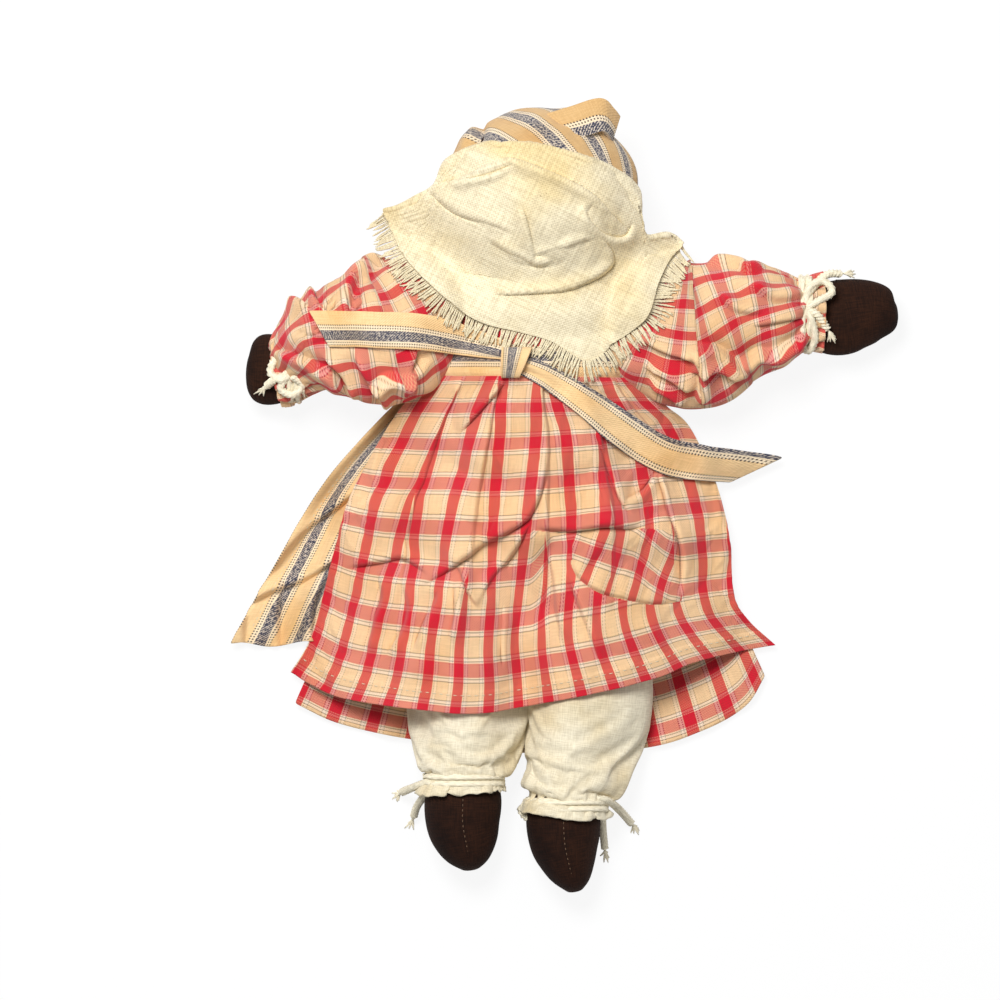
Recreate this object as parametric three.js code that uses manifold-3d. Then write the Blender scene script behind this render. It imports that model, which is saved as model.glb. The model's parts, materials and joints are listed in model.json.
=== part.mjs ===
// A primitive cloth doll, lying on its front: stuffed limbs, a checked dress, a ticking apron and kerchief,
// a fringed shawl and string ties. Millimetres. +Y runs to the head, +Z up through the doll's back, and
// +X to its right hand. The origin is on the floor under the apron.
import * as THREE from "three";
import { mergeVertices } from "three/addons/utils/BufferGeometryUtils.js";
import Module from "manifold-3d";

const wasm = await Module();
wasm.setup();

// Cloth and clearances
const CLOTH = 1.2; // one layer of cloth
const FIT = 0.35; // gap between pieces that lie against each other
const SMOOTHING = 0.06; // how far a facet may move when slivers left by a cut are merged
const CLOTH_SMOOTHING = 0.15; // the same for cloth that nothing turns in
const DRAPE = 0.2; // added gap under a draped sheet
const DRAPE_REACH = 6; // half of a draped sheet's facet: it lies on the highest spot within it
const RELIEF_CELL = 2.5;
const RELIEF_REACH = 240;

// Stuffed body
const HIP_Y = 4; // the crease that the legs bend at
const HIP_RADIUS = 15;
const TORSO_LENGTH = 100; // hip crease to neck
const TORSO_WIDTH = 84;
const TORSO_DEPTH = 42;
const BODY_LEAN = 3; // how far the chest lies to the right of the hips
const NECK_RADIUS = 14;
const HEAD_WIDTH = 86;
const HEAD_LENGTH = 72;
const HEAD_DEPTH = 68;
const HEAD_LEAN = 3; // the head's own lean past the chest
const CHIN_TUCK = 6; // how far the head reaches below the neck's pivot

// Arms
const SHOULDER_SPREAD = 108;
const SHOULDER_DROP = 26; // below the neck's pivot
const UPPER_ARM = 52;
const FOREARM = 36;
const HAND_LENGTH = 30;
const ARM_RADIUS = 11.5;
const HAND_WIDTH = 34;
const HAND_DEPTH = 22;
const THUMB_RADIUS = 8;

// Legs
const LEG_SPREAD = 52;
const LEG_SLANT = 8; // the right leg is sewn on this much lower than the left
const LEG_LENGTH = 159; // pivot to toe
const LEG_RADIUS = 14;
const FOOT_WIDTH = 36;
const FOOT_DEPTH = 31;
const FOOT_LENGTH = 50;

// Dress
const WAIST_Y = 51;
const BAND_WIDTH = 15;
const BODICE_TOP = 13; // below the neck's pivot
const SLEEVE_WIDTH = 68;
const SLEEVE_DEPTH = 47;
const SLEEVE_START = -10; // from the shoulder's pivot, out along the arm
const SLEEVE_DROOP = 10; // the sleeve's fullness hangs towards the feet
const SLEEVE_SAG = 8; // and towards the floor
const SLEEVE_ROOM = 1.2; // gap between an arm and the sleeve round it
const WRIST_RADIUS = 14.5;
const CUFF_LENGTH = 9; // frill past the wrist's string
const SKIRT_HALF_WAIST = 47;
const SKIRT_HALF_HEM = 115;
const SKIRT_BACK_LENGTH = 156;
const SKIRT_FRONT_LENGTH = 180;
const HEM_RISE_LEFT = 16; // how much higher the hem's left corner is than its middle
const HEM_RISE_RIGHT = 28;
const SKIRT_SLOPE = 1.1; // the steepest that the skirt falls away from the legs
const SKIRT_FOLD = 6;
const SKIRT_FOLD_COUNT = 5;

// Pantaloons
const PANTALOON_WIDTH = 48;
const PANTALOON_DEPTH = 38;
const PANTALOON_LENGTH = 113; // pivot to the ankle's string
const PANTALOON_TOP = 20; // radius of the round top that turns in the seat
const SEAT_WIDTH = 98;
const SEAT_WALL = 3; // cloth left between the hip's roll and the top of a leg
const ANKLE_RADIUS = 17;
const ANKLE_FRILL = 8;

// Apron, its waistband and the sash that ties it
const APRON_LENGTH = 127;
const APRON_LEFT = 143; // reach of the bottom corner that shows beside the skirt
const APRON_RIGHT = 70;
const APRON_HALF_TOP = 42;
const APRON_PLEAT = 5;
const KNOT_LENGTH = 18;
const KNOT_X = -7;
const TAIL_WIDTH = 16;
const TAIL_NECK = 8; // width where a tail is drawn into the knot
const TAIL_OFFSET = 3; // the tails leave the knot this far apart, up and down the back
const KNOT_RISE = 2; // the middle of the knot, above the waistband
const LEFT_TAIL = 100;
const RIGHT_TAIL = 136;

// Kerchief and shawl
const KERCHIEF_FOLD = 1.6;
const KERCHIEF_NAPE = 38; // how much lower the kerchief comes at the nape than at the brow
const KERCHIEF_TAIL_LENGTH = 30;
const KERCHIEF_TAIL_WIDTH = 17;
const KERCHIEF_TAIL_LIFT = 10; // how far the tail stands above the middle of its knot
const KERCHIEF_TAIL_DIP = 3;
const KERCHIEF_TAIL_CURL = 2;
const KERCHIEF_KNOT_RADIUS = 8;
const KERCHIEF_KNOT_RISE = 8; // the knot's height above the middle of the head
const SHAWL_SIDE = 78; // reach of each side corner from the neck
const SHAWL_DROP = 56; // neck to the point on the back
const SHAWL_RISE = 50; // neck to the rolled edge on the head
const SHAWL_SLOPE = 1.3;
const FRINGE_LENGTH = 9;
const FRINGE_STEP = 10;
const STRAND = 1.5;

// String ties
const STRING_RADIUS = 1.6;
const STRING_GROOVE = 8; // width of the gathers that a string is drawn round
const STRING_SLACK = 1.1; // gap between a string and the gathers under it
const TIE_TAIL = 13;
const TIE_LIFT = 4; // how far a tie's tails stand off the cloth

// Heights above the floor and places that follow from the sizes above
const NECK_Y = HIP_Y + TORSO_LENGTH;
const TORSO_Z = 2 * (CLOTH + FIT) + TORSO_DEPTH / 2;
const BED_Z = 2 * (CLOTH + FIT); // top of the apron and the skirt's front
const LEG_Z = BED_Z + PANTALOON_DEPTH / 2;
const LEG_DROP = HIP_RADIUS + PANTALOON_TOP + LEG_SLANT / 2 + SEAT_WALL; // hip crease to the legs' pivots
const SHOULDER_Y = NECK_Y - SHOULDER_DROP;
const SHOULDER_Z = Math.max(TORSO_Z, SLEEVE_DEPTH / 2 + FIT);
const BAND_LOW = WAIST_Y - BAND_WIDTH / 2;
const BAND_HIGH = WAIST_Y + BAND_WIDTH / 2;
const NECK = new THREE.Vector3(BODY_LEAN, NECK_Y, TORSO_Z);
const UP = new THREE.Vector3(0, 0, 1);

const FABRICS = {
  brown: new THREE.MeshStandardMaterial({ color: 0x3c2517, roughness: 0.95, metalness: 0 }),
  muslin: new THREE.MeshStandardMaterial({ color: 0xe9d9b4, roughness: 0.95, metalness: 0 }),
  check: new THREE.MeshStandardMaterial({ color: 0xdf9a80, roughness: 0.95, metalness: 0 }),
  ticking: new THREE.MeshStandardMaterial({ color: 0xe6c89a, roughness: 0.95, metalness: 0 }),
  cotton: new THREE.MeshStandardMaterial({ color: 0xe7dfc8, roughness: 0.95, metalness: 0 }),
  string: new THREE.MeshStandardMaterial({ color: 0xf3e6c4, roughness: 0.95, metalness: 0 }),
};

// Closed surfaces

// A geometry from points and triangles, turned so that its faces point out.
function closedGeometry(points, triangles) {
  let volume = 0;
  for (let i = 0; i < triangles.length; i += 3) {
    const [a, b, c] = [0, 1, 2].map((k) => points[triangles[i + k]]);
    volume += a.dot(new THREE.Vector3().crossVectors(b, c));
  }
  if (volume < 0) triangles.reverse();
  const geometry = new THREE.BufferGeometry().setFromPoints(points);
  geometry.setIndex(triangles);
  return geometry;
}

// Rings of equally many points, joined in order and closed at both ends.
function loft(rings) {
  const sides = rings[0].length;
  const points = rings.flat();
  const triangles = [];
  for (let r = 0; r + 1 < rings.length; r++) {
    for (let k = 0; k < sides; k++) {
      const a = r * sides + k;
      const b = r * sides + ((k + 1) % sides);
      triangles.push(a, b, a + sides, b, b + sides, a + sides);
    }
  }
  for (const [first, flip] of [[0, true], [points.length - sides, false]]) {
    const ring = points.slice(first, first + sides);
    const centre = ring.reduce((sum, p) => sum.add(p), new THREE.Vector3()).divideScalar(sides);
    const middle = points.push(centre) - 1;
    for (let k = 0; k < sides; k++) {
      const a = first + k;
      const b = first + ((k + 1) % sides);
      triangles.push(middle, flip ? b : a, flip ? a : b);
    }
  }
  return closedGeometry(points, triangles);
}

// An oval ring about a centre. folds is the share by which gathers move the edge in and out.
function ovalRing(centre, side, up, halfWidth, halfDepth, sides, folds = 0, foldCount = 0) {
  const ring = [];
  for (let k = 0; k < sides; k++) {
    const turn = (2 * Math.PI * k) / sides;
    const full = 1 + folds * Math.cos(foldCount * turn);
    const across = side.clone().multiplyScalar(Math.cos(turn) * halfWidth * full);
    ring.push(centre.clone().add(across).addScaledVector(up, Math.sin(turn) * halfDepth * full));
  }
  return ring;
}

// A tube of oval rings along a path. Each station is { at, width, depth } with at in millimetres along it.
function tubeAlong(path, stations, sides) {
  const length = path.getLength();
  return loft(stations.map(({ at, width, depth, folds, foldCount }) => {
    const share = THREE.MathUtils.clamp(at / length, 0, 1);
    const along = path.getTangentAt(share);
    const side = new THREE.Vector3().crossVectors(along, UP).normalize();
    const up = new THREE.Vector3().crossVectors(side, along);
    return ovalRing(path.getPointAt(share), side, up, width / 2, depth / 2, sides, folds, foldCount);
  }));
}

// Rings across the Y axis. Each station is { y, x, z, width, depth }.
function tubeAlongY(stations, sides) {
  const side = new THREE.Vector3(1, 0, 0);
  return loft(stations.map(({ y, x, z, width, depth }) =>
    ovalRing(new THREE.Vector3(x, y, z), side, UP, width / 2, depth / 2, sides)));
}

// A sheet of cloth, one cloth thick: at(u, v) gives its underside. A grown one is thicker all round.
function sheet(columns, rows, at, grow = 0) {
  const points = [];
  const grid = (layer, i, j) => (layer * (rows + 1) + j) * (columns + 1) + i;
  const inward = (k, count) => (k === 0 ? 1 : k === count ? -1 : 0);
  for (const lift of [-grow, CLOTH + grow]) {
    for (let j = 0; j <= rows; j++) {
      for (let i = 0; i <= columns; i++) {
        const p = at(i / columns, j / rows);
        for (const [di, dj] of [[inward(i, columns), 0], [0, inward(j, rows)]]) {
          const inner = at((i + di) / columns, (j + dj) / rows);
          p.addScaledVector(p.clone().sub(inner).normalize(), grow);
        }
        points.push(new THREE.Vector3(p.x, p.y, p.z + lift));
      }
    }
  }
  const triangles = [];
  const quad = (a, b, c, d) => triangles.push(a, b, c, a, c, d);
  for (let j = 0; j < rows; j++) {
    for (let i = 0; i < columns; i++) {
      quad(grid(1, i, j), grid(1, i + 1, j), grid(1, i + 1, j + 1), grid(1, i, j + 1));
      quad(grid(0, i, j), grid(0, i, j + 1), grid(0, i + 1, j + 1), grid(0, i + 1, j));
    }
  }
  for (let i = 0; i < columns; i++) {
    quad(grid(0, i, 0), grid(0, i + 1, 0), grid(1, i + 1, 0), grid(1, i, 0));
    quad(grid(1, i, rows), grid(1, i + 1, rows), grid(0, i + 1, rows), grid(0, i, rows));
  }
  for (let j = 0; j < rows; j++) {
    quad(grid(1, 0, j), grid(1, 0, j + 1), grid(0, 0, j + 1), grid(0, 0, j));
    quad(grid(0, columns, j), grid(0, columns, j + 1), grid(1, columns, j + 1), grid(1, columns, j));
  }
  return closedGeometry(points, triangles);
}

// Solids

function solid(geometry) {
  const bare = geometry.clone();
  bare.deleteAttribute("normal");
  bare.deleteAttribute("uv");
  const merged = mergeVertices(bare, 1e-4);
  return new wasm.Manifold(new wasm.Mesh({
    numProp: 3,
    vertProperties: new Float32Array(merged.attributes.position.array),
    triVerts: new Uint32Array(merged.index.array),
  }));
}

function geometryOf(body, smoothing = SMOOTHING) {
  const { vertProperties, triVerts } = body.simplify(smoothing).getMesh();
  const geometry = new THREE.BufferGeometry();
  geometry.setAttribute("position", new THREE.BufferAttribute(new Float32Array(vertProperties), 3));
  geometry.setIndex(new THREE.BufferAttribute(new Uint32Array(triVerts), 1));
  return geometry;
}

// The largest body of a cut solid: a cut can leave crumbs of cloth behind.
function largest(body) {
  return body.decompose().reduce((best, part) => (part.volume() > best.volume() ? part : best));
}

// A draped sheet's facets cut corners: whatever they still cut into is taken out of the sheet.
function clearOf(body, neighbours) {
  return largest(neighbours.reduce((rest, neighbour) => rest.subtract(neighbour), body));
}

// A ball, whose facets round the Z axis are flat enough to stay inside the clearance as it turns.
function ball(centre, radiusAcross, radiusUp = radiusAcross, around = 16, levels = 4) {
  const geometry = new THREE.SphereGeometry(1, around, levels).rotateX(Math.PI / 2);
  geometry.scale(radiusAcross, radiusAcross, radiusUp);
  return solid(geometry.translate(centre.x, centre.y, centre.z));
}

// What lies highest over each spot of the floor, for cloth to be laid on.
class Relief {
  constructor() {
    this.count = Math.round((2 * RELIEF_REACH) / RELIEF_CELL) + 1;
    this.heights = new Float64Array(this.count * this.count);
  }

  copy() {
    const twin = new Relief();
    twin.heights.set(this.heights);
    return twin;
  }

  add(geometry) {
    const position = geometry.attributes.position;
    const index = geometry.index.array;
    const corner = (k) => new THREE.Vector3().fromBufferAttribute(position, index[k]);
    for (let t = 0; t < index.length; t += 3) this.addTriangle(corner(t), corner(t + 1), corner(t + 2));
    return this;
  }

  addTriangle(a, b, c) {
    const area = (b.x - a.x) * (c.y - a.y) - (c.x - a.x) * (b.y - a.y);
    if (Math.abs(area) < 1e-9) return;
    const cellOf = (value) => (value + RELIEF_REACH) / RELIEF_CELL;
    const [left, right] = [Math.min(a.x, b.x, c.x), Math.max(a.x, b.x, c.x)].map(cellOf);
    const [low, high] = [Math.min(a.y, b.y, c.y), Math.max(a.y, b.y, c.y)].map(cellOf);
    for (let j = Math.ceil(low); j <= Math.floor(high); j++) {
      for (let i = Math.ceil(left); i <= Math.floor(right); i++) {
        const x = i * RELIEF_CELL - RELIEF_REACH;
        const y = j * RELIEF_CELL - RELIEF_REACH;
        const toB = ((x - a.x) * (c.y - a.y) - (c.x - a.x) * (y - a.y)) / area;
        const toC = ((b.x - a.x) * (y - a.y) - (x - a.x) * (b.y - a.y)) / area;
        if (toB < 0 || toC < 0 || toB + toC > 1) continue;
        const z = a.z + toB * (b.z - a.z) + toC * (c.z - a.z);
        const spot = j * this.count + i;
        this.heights[spot] = Math.max(this.heights[spot], z);
      }
    }
  }

  // Cloth falls away from what holds it up no steeper than this slope.
  tent(slope) {
    const { count, heights } = this;
    const lower = (spot, other, steps) => {
      heights[spot] = Math.max(heights[spot], heights[other] - slope * RELIEF_CELL * steps);
    };
    const sweep = (from, to, step) => {
      for (let j = from; j !== to; j += step) {
        for (let i = from; i !== to; i += step) {
          const spot = j * count + i;
          lower(spot, spot - step, 1);
          lower(spot, spot - step * count, 1);
          lower(spot, spot - step * (count + 1), Math.SQRT2);
          lower(spot, spot - step * (count - 1), Math.SQRT2);
        }
      }
    };
    sweep(1, count - 1, 1);
    sweep(count - 2, 0, -1);
    return this;
  }

  // The highest spot within half a facet of a place, so that facets don't cut corners.
  at(x, y) {
    const cellOf = (value) => (value + RELIEF_REACH) / RELIEF_CELL;
    const [left, right] = [x - DRAPE_REACH, x + DRAPE_REACH].map(cellOf);
    const [low, high] = [y - DRAPE_REACH, y + DRAPE_REACH].map(cellOf);
    let highest = 0;
    for (let j = Math.floor(low); j <= Math.ceil(high); j++) {
      for (let i = Math.floor(left); i <= Math.ceil(right); i++) {
        highest = Math.max(highest, this.heights[j * this.count + i]);
      }
    }
    return highest;
  }
}

const doll = new THREE.Group();

function piece(parent, name, geometry, fabric) {
  const mesh = new THREE.Mesh(geometry, fabric);
  mesh.name = name;
  parent.add(mesh);
  return mesh;
}

// Torso

// Width and depth of the torso at a height above the hip crease.
const TORSO_PROFILE = [
  [0, 0.9, 0.62], [0.06, 0.92, 0.62], [0.16, 0.96, 0.8], [0.32, 1, 0.95],
  [0.52, 1, 1], [0.7, 0.97, 0.98], [0.82, 0.8, 0.86], [0.9, 0.5, 0.7],
];

function torsoStations(grow) {
  return TORSO_PROFILE.map(([share, wide, deep]) => ({
    y: HIP_Y + share * TORSO_LENGTH,
    x: share * BODY_LEAN,
    z: TORSO_Z,
    width: wide * TORSO_WIDTH + 2 * grow,
    depth: deep * TORSO_DEPTH + 2 * grow,
  }));
}

function hipRoll(grow) {
  const width = TORSO_PROFILE[0][1] * TORSO_WIDTH;
  const roll = new THREE.CylinderGeometry(HIP_RADIUS + grow, HIP_RADIUS + grow, width + 2 * grow, 16);
  return solid(roll.rotateZ(Math.PI / 2).translate(0, HIP_Y, TORSO_Z));
}

// The neck's ball has its poles on the axis that the head nods about.
function neckBall(grow) {
  const shape = new THREE.SphereGeometry(NECK_RADIUS + grow, 16, 6).rotateZ(Math.PI / 2);
  return solid(shape.translate(NECK.x, NECK.y, NECK.z));
}

function fatTorso(grow) {
  return solid(tubeAlongY(torsoStations(grow), 16)).add(hipRoll(grow)).add(neckBall(grow));
}

// Arms

// A path of straight bones of given lengths and headings, rounded at its bends.
function limbPath(start, bones) {
  const points = [start.clone()];
  for (const { length, heading, pitch } of bones) {
    const [turn, rise] = [heading, pitch].map(THREE.MathUtils.degToRad);
    const level = Math.cos(rise);
    const step = new THREE.Vector3(level * Math.cos(turn), level * Math.sin(turn), Math.sin(rise));
    points.push(points.at(-1).clone().addScaledVector(step, length));
  }
  return new THREE.CatmullRomCurve3(points, false, "centripetal");
}

// Bones from the shoulder out. The left arm is bent with its elbow off the floor, the right lies straight.
const ARMS = {
  left: { sign: -1, headings: [184, 200, 245, 235, 186], pitches: [30, 15, -45, -50, -10] },
  right: { sign: 1, headings: [-2, 0, 0, 0, 2], pitches: [-1, -2, -4, -6, -8] },
};
const ARM_BONES = [0.7 * UPPER_ARM, 0.3 * UPPER_ARM, 0.5 * FOREARM, 0.5 * FOREARM, HAND_LENGTH];

for (const arm of Object.values(ARMS)) {
  arm.pivot = new THREE.Vector3(BODY_LEAN + (arm.sign * SHOULDER_SPREAD) / 2, SHOULDER_Y, SHOULDER_Z);
  const bones = ARM_BONES.map((length, k) => ({ length, heading: arm.headings[k], pitch: arm.pitches[k] }));
  arm.path = limbPath(arm.pivot, bones);
  arm.wristAt = arm.path.getLength() - HAND_LENGTH;
}

function armSolid({ path, pivot, wristAt, sign }, grow) {
  const end = path.getLength();
  const arm = 2 * (ARM_RADIUS + grow);
  const hand = { width: HAND_WIDTH + 2 * grow, depth: HAND_DEPTH + 2 * grow };
  const stations = [
    { at: 0, width: arm, depth: arm },
    { at: 0.35 * wristAt, width: arm, depth: arm },
    { at: 0.7 * wristAt, width: 0.95 * arm, depth: 0.95 * arm },
    { at: wristAt - STRING_GROOVE / 2, width: 0.92 * arm, depth: 0.9 * arm },
    { at: wristAt + 0.3 * HAND_LENGTH, width: 0.86 * hand.width, depth: hand.depth },
    { at: wristAt + 0.6 * HAND_LENGTH, ...hand },
    { at: wristAt + 0.85 * HAND_LENGTH, width: 0.76 * hand.width, depth: 0.8 * hand.depth },
    { at: end, width: 0.34 * hand.width, depth: 0.4 * hand.depth },
  ];
  const thumbAt = path.getPointAt((wristAt + 0.42 * HAND_LENGTH) / end);
  const along = path.getTangentAt(wristAt / end);
  const towardsFeet = new THREE.Vector3(along.y, -along.x, 0).multiplyScalar(sign).normalize();
  const thumb = thumbAt.addScaledVector(towardsFeet, (HAND_WIDTH - THUMB_RADIUS / 2) / 2);
  const thumbBall = ball(thumb, THUMB_RADIUS + grow, THUMB_RADIUS + grow, 8, 4);
  return solid(tubeAlong(path, stations, 10)).add(ball(pivot, ARM_RADIUS + grow)).add(thumbBall);
}

// Dress, down to the waist

// The torso's outline at one height, grown by a wall.
function torsoAt(y, wall) {
  const torso = torsoStations(wall);
  const next = Math.max(1, torso.findIndex((s) => s.y >= y));
  const [a, b] = [torso[next - 1], torso[next]];
  const mix = (key) => THREE.MathUtils.lerp(a[key], b[key], (y - a.y) / (b.y - a.y));
  return { y, x: mix("x"), z: TORSO_Z, width: mix("width"), depth: mix("depth") };
}

// A cloth tube round the torso, from one height to another.
function roundTorso(low, high, wall) {
  const between = torsoStations(wall).filter((s) => s.y > low + CLOTH && s.y < high - CLOTH);
  return solid(tubeAlongY([torsoAt(low, wall), ...between, torsoAt(high, wall)], 16));
}

const BODICE_WALL = FIT + CLOTH;
const BAND_WALL = 2 * BODICE_WALL;
const bodiceOuter = (grow) => roundTorso(BAND_LOW - grow, NECK_Y - BODICE_TOP + grow, BODICE_WALL + grow);
const bandOuter = (grow) => roundTorso(BAND_LOW - grow, BAND_HIGH + grow, BAND_WALL + grow);
const armholes = Object.values(ARMS).map((arm) => ball(arm.pivot, ARM_RADIUS + FIT));
const withArmholes = (body) => armholes.reduce((rest, hole) => rest.subtract(hole), body);

const torsoSolid = withArmholes(fatTorso(0));
const bodiceSolid = withArmholes(bodiceOuter(0).subtract(fatTorso(FIT)));
const bandSolid = bandOuter(0).subtract(bodiceOuter(FIT));

// Sleeves: puffed between the shoulder and the string at the wrist, with a frill beyond it.
function sleevePath({ pivot, path, wristAt }) {
  const length = path.getLength();
  const wrist = path.getPointAt(wristAt / length);
  const elbow = path.getPointAt((0.5 * wristAt) / length);
  const start = pivot.clone().lerp(elbow, SLEEVE_START / (0.5 * wristAt));
  const middle = path.getPointAt((0.55 * wristAt) / length);
  middle.y -= SLEEVE_DROOP;
  middle.z = Math.max(SLEEVE_DEPTH / 2 + FIT, middle.z - SLEEVE_SAG);
  const cuff = wrist.clone().addScaledVector(path.getTangentAt(wristAt / length), CUFF_LENGTH);
  return new THREE.CatmullRomCurve3([start, middle, wrist, cuff], false, "centripetal");
}

function sleeveOuter(arm, grow) {
  const path = sleevePath(arm);
  const wrist = path.getLength() - CUFF_LENGTH;
  const station = (share, wide, deep, folds) => ({
    at: share * wrist,
    width: wide * SLEEVE_WIDTH + 2 * grow,
    depth: deep * SLEEVE_DEPTH + 2 * grow,
    folds,
    foldCount: 6,
  });
  const wristStation = (at, ratio, folds) => ({
    at,
    width: 2 * (ratio * WRIST_RADIUS + grow),
    depth: 2 * (ratio * WRIST_RADIUS + grow),
    folds,
    foldCount: 7,
  });
  return solid(tubeAlong(path, [
    station(0, 0.72, 0.86, 0.02),
    station(0.2, 0.9, 0.97, 0.03),
    station(0.42, 1, 1, 0.03),
    station(0.62, 0.98, 0.98, 0.04),
    station(0.8, 0.84, 0.85, 0.05),
    wristStation(wrist - STRING_GROOVE / 2, 1, 0),
    wristStation(wrist + STRING_GROOVE / 2, 1, 0),
    wristStation(wrist + CUFF_LENGTH, 1.2, 0.08),
  ], 12));
}

// Legs, pantaloons and the seat that joins them

const LEGS = {
  left: { sign: -1, heading: 268, drop: LEG_DROP - LEG_SLANT / 2 },
  right: { sign: 1, heading: 266.5, drop: LEG_DROP + LEG_SLANT / 2 },
};

for (const leg of Object.values(LEGS)) {
  leg.pivot = new THREE.Vector3((leg.sign * LEG_SPREAD) / 2, HIP_Y - leg.drop, LEG_Z);
  const shin = LEG_LENGTH - 1.2 * FOOT_LENGTH;
  const fall = Math.atan((LEG_Z - FOOT_DEPTH / 2 - FIT) / FOOT_LENGTH);
  leg.path = limbPath(leg.pivot, [
    { length: shin, heading: leg.heading, pitch: 0 },
    { length: LEG_LENGTH - shin, heading: leg.heading, pitch: -THREE.MathUtils.radToDeg(fall) },
  ]);
}

function legSolid({ path }, grow) {
  const heel = LEG_LENGTH - FOOT_LENGTH;
  const leg = 2 * (LEG_RADIUS + grow);
  const foot = { width: FOOT_WIDTH + 2 * grow, depth: FOOT_DEPTH + 2 * grow };
  return solid(tubeAlong(path, [
    { at: 0, width: 0.5 * leg, depth: 0.5 * leg },
    { at: 0.4 * LEG_RADIUS, width: 0.9 * leg, depth: 0.9 * leg },
    { at: 0.4 * heel, width: leg, depth: leg },
    { at: heel, width: leg, depth: leg },
    { at: heel + 0.35 * FOOT_LENGTH, ...foot },
    { at: heel + 0.65 * FOOT_LENGTH, width: 0.94 * foot.width, depth: 0.88 * foot.depth },
    { at: heel + 0.88 * FOOT_LENGTH, width: 0.66 * foot.width, depth: 0.58 * foot.depth },
    { at: LEG_LENGTH, width: 0.22 * foot.width, depth: 0.2 * foot.depth },
  ], 12));
}

function pantaloonOuter({ path, pivot }, grow) {
  const full = { width: PANTALOON_WIDTH + 2 * grow, depth: PANTALOON_DEPTH + 2 * grow };
  const ankle = (at, ratio, folds) => ({
    at,
    width: 2 * (ratio * ANKLE_RADIUS + grow),
    depth: 2 * (ratio * ANKLE_RADIUS + grow),
    folds,
    foldCount: 7,
  });
  const top = 2 * (PANTALOON_TOP + grow);
  const tube = tubeAlong(path, [
    { at: 0.25 * PANTALOON_TOP, width: 0.92 * top, depth: 0.92 * full.depth },
    { at: 0.3 * PANTALOON_LENGTH, width: 0.94 * full.width, depth: full.depth },
    { at: 0.6 * PANTALOON_LENGTH, ...full },
    { at: 0.84 * PANTALOON_LENGTH, width: 0.92 * full.width, depth: 0.96 * full.depth },
    ankle(PANTALOON_LENGTH - STRING_GROOVE / 2, 1, 0),
    ankle(PANTALOON_LENGTH + STRING_GROOVE / 2, 1, 0),
    ankle(PANTALOON_LENGTH + ANKLE_FRILL, 1.12, 0.06),
  ], 14);
  return solid(tube).add(ball(pivot, PANTALOON_TOP + grow, full.depth / 2, 20, 6));
}

function seatOuter(grow) {
  const station = (below, z, wide, depth) => ({
    y: HIP_Y - below,
    x: 0,
    z,
    width: wide * SEAT_WIDTH + 2 * grow,
    depth: depth + 2 * grow,
  });
  return solid(tubeAlongY([
    station(CLOTH - grow, TORSO_Z, 0.9, 2 * HIP_RADIUS + 2 * SEAT_WALL),
    station(0.35 * LEG_DROP, (TORSO_Z + LEG_Z) / 2, 1, 0.96 * PANTALOON_DEPTH),
    station(0.65 * LEG_DROP, LEG_Z, 1, 0.98 * PANTALOON_DEPTH),
    station(LEG_DROP - LEG_SLANT / 2 + grow, LEG_Z, 0.94, 0.9 * PANTALOON_DEPTH),
  ], 16));
}

const fatLegs = Object.values(LEGS).map((leg) => pantaloonOuter(leg, FIT));
const seatSolid = clearOf(seatOuter(0), [hipRoll(FIT), ...fatLegs]);

// Head and kerchief

const HEAD = new THREE.Vector3(
  BODY_LEAN + HEAD_LEAN,
  NECK_Y - CHIN_TUCK + HEAD_LENGTH / 2,
  HEAD_DEPTH / 2 + CLOTH + 2 * FIT,
);
const FOLDS_ACROSS_HEAD = 4; // folds of the kerchief, slanting across it

function headOuter(grow, folds = 0) {
  const shape = new THREE.SphereGeometry(1, 16, 8).rotateX(Math.PI / 2);
  shape.scale(HEAD_WIDTH / 2 + grow, HEAD_LENGTH / 2 + grow, HEAD_DEPTH / 2 + grow);
  const position = shape.attributes.position;
  for (let k = 0; k < position.count; k++) {
    const p = new THREE.Vector3().fromBufferAttribute(position, k);
    const slant = (p.x + p.y) / (HEAD_WIDTH + HEAD_LENGTH);
    const wave = Math.max(0, Math.sin(2 * Math.PI * FOLDS_ACROSS_HEAD * slant));
    p.addScaledVector(p.clone().normalize(), folds * wave);
    position.setXYZ(k, p.x, p.y, p.z);
  }
  return solid(shape.translate(HEAD.x, HEAD.y, HEAD.z));
}

// Keeps what lies on the crown's side of a plane from the brow, at the floor, up to the nape.
function crownSide(body) {
  const browY = HEAD.y + 0.42 * (HEAD_LENGTH / 2);
  const slope = KERCHIEF_NAPE / HEAD_DEPTH;
  const normal = new THREE.Vector3(0, 1, slope).normalize();
  return body.trimByPlane([normal.x, normal.y, normal.z], normal.y * browY + normal.z * FIT);
}

const headSolid = headOuter(0).subtract(neckBall(FIT));
const kerchiefShell = headOuter(FIT + CLOTH, KERCHIEF_FOLD).subtract(headOuter(FIT));
const kerchiefSolid = largest(crownSide(kerchiefShell));

// String ties

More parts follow.
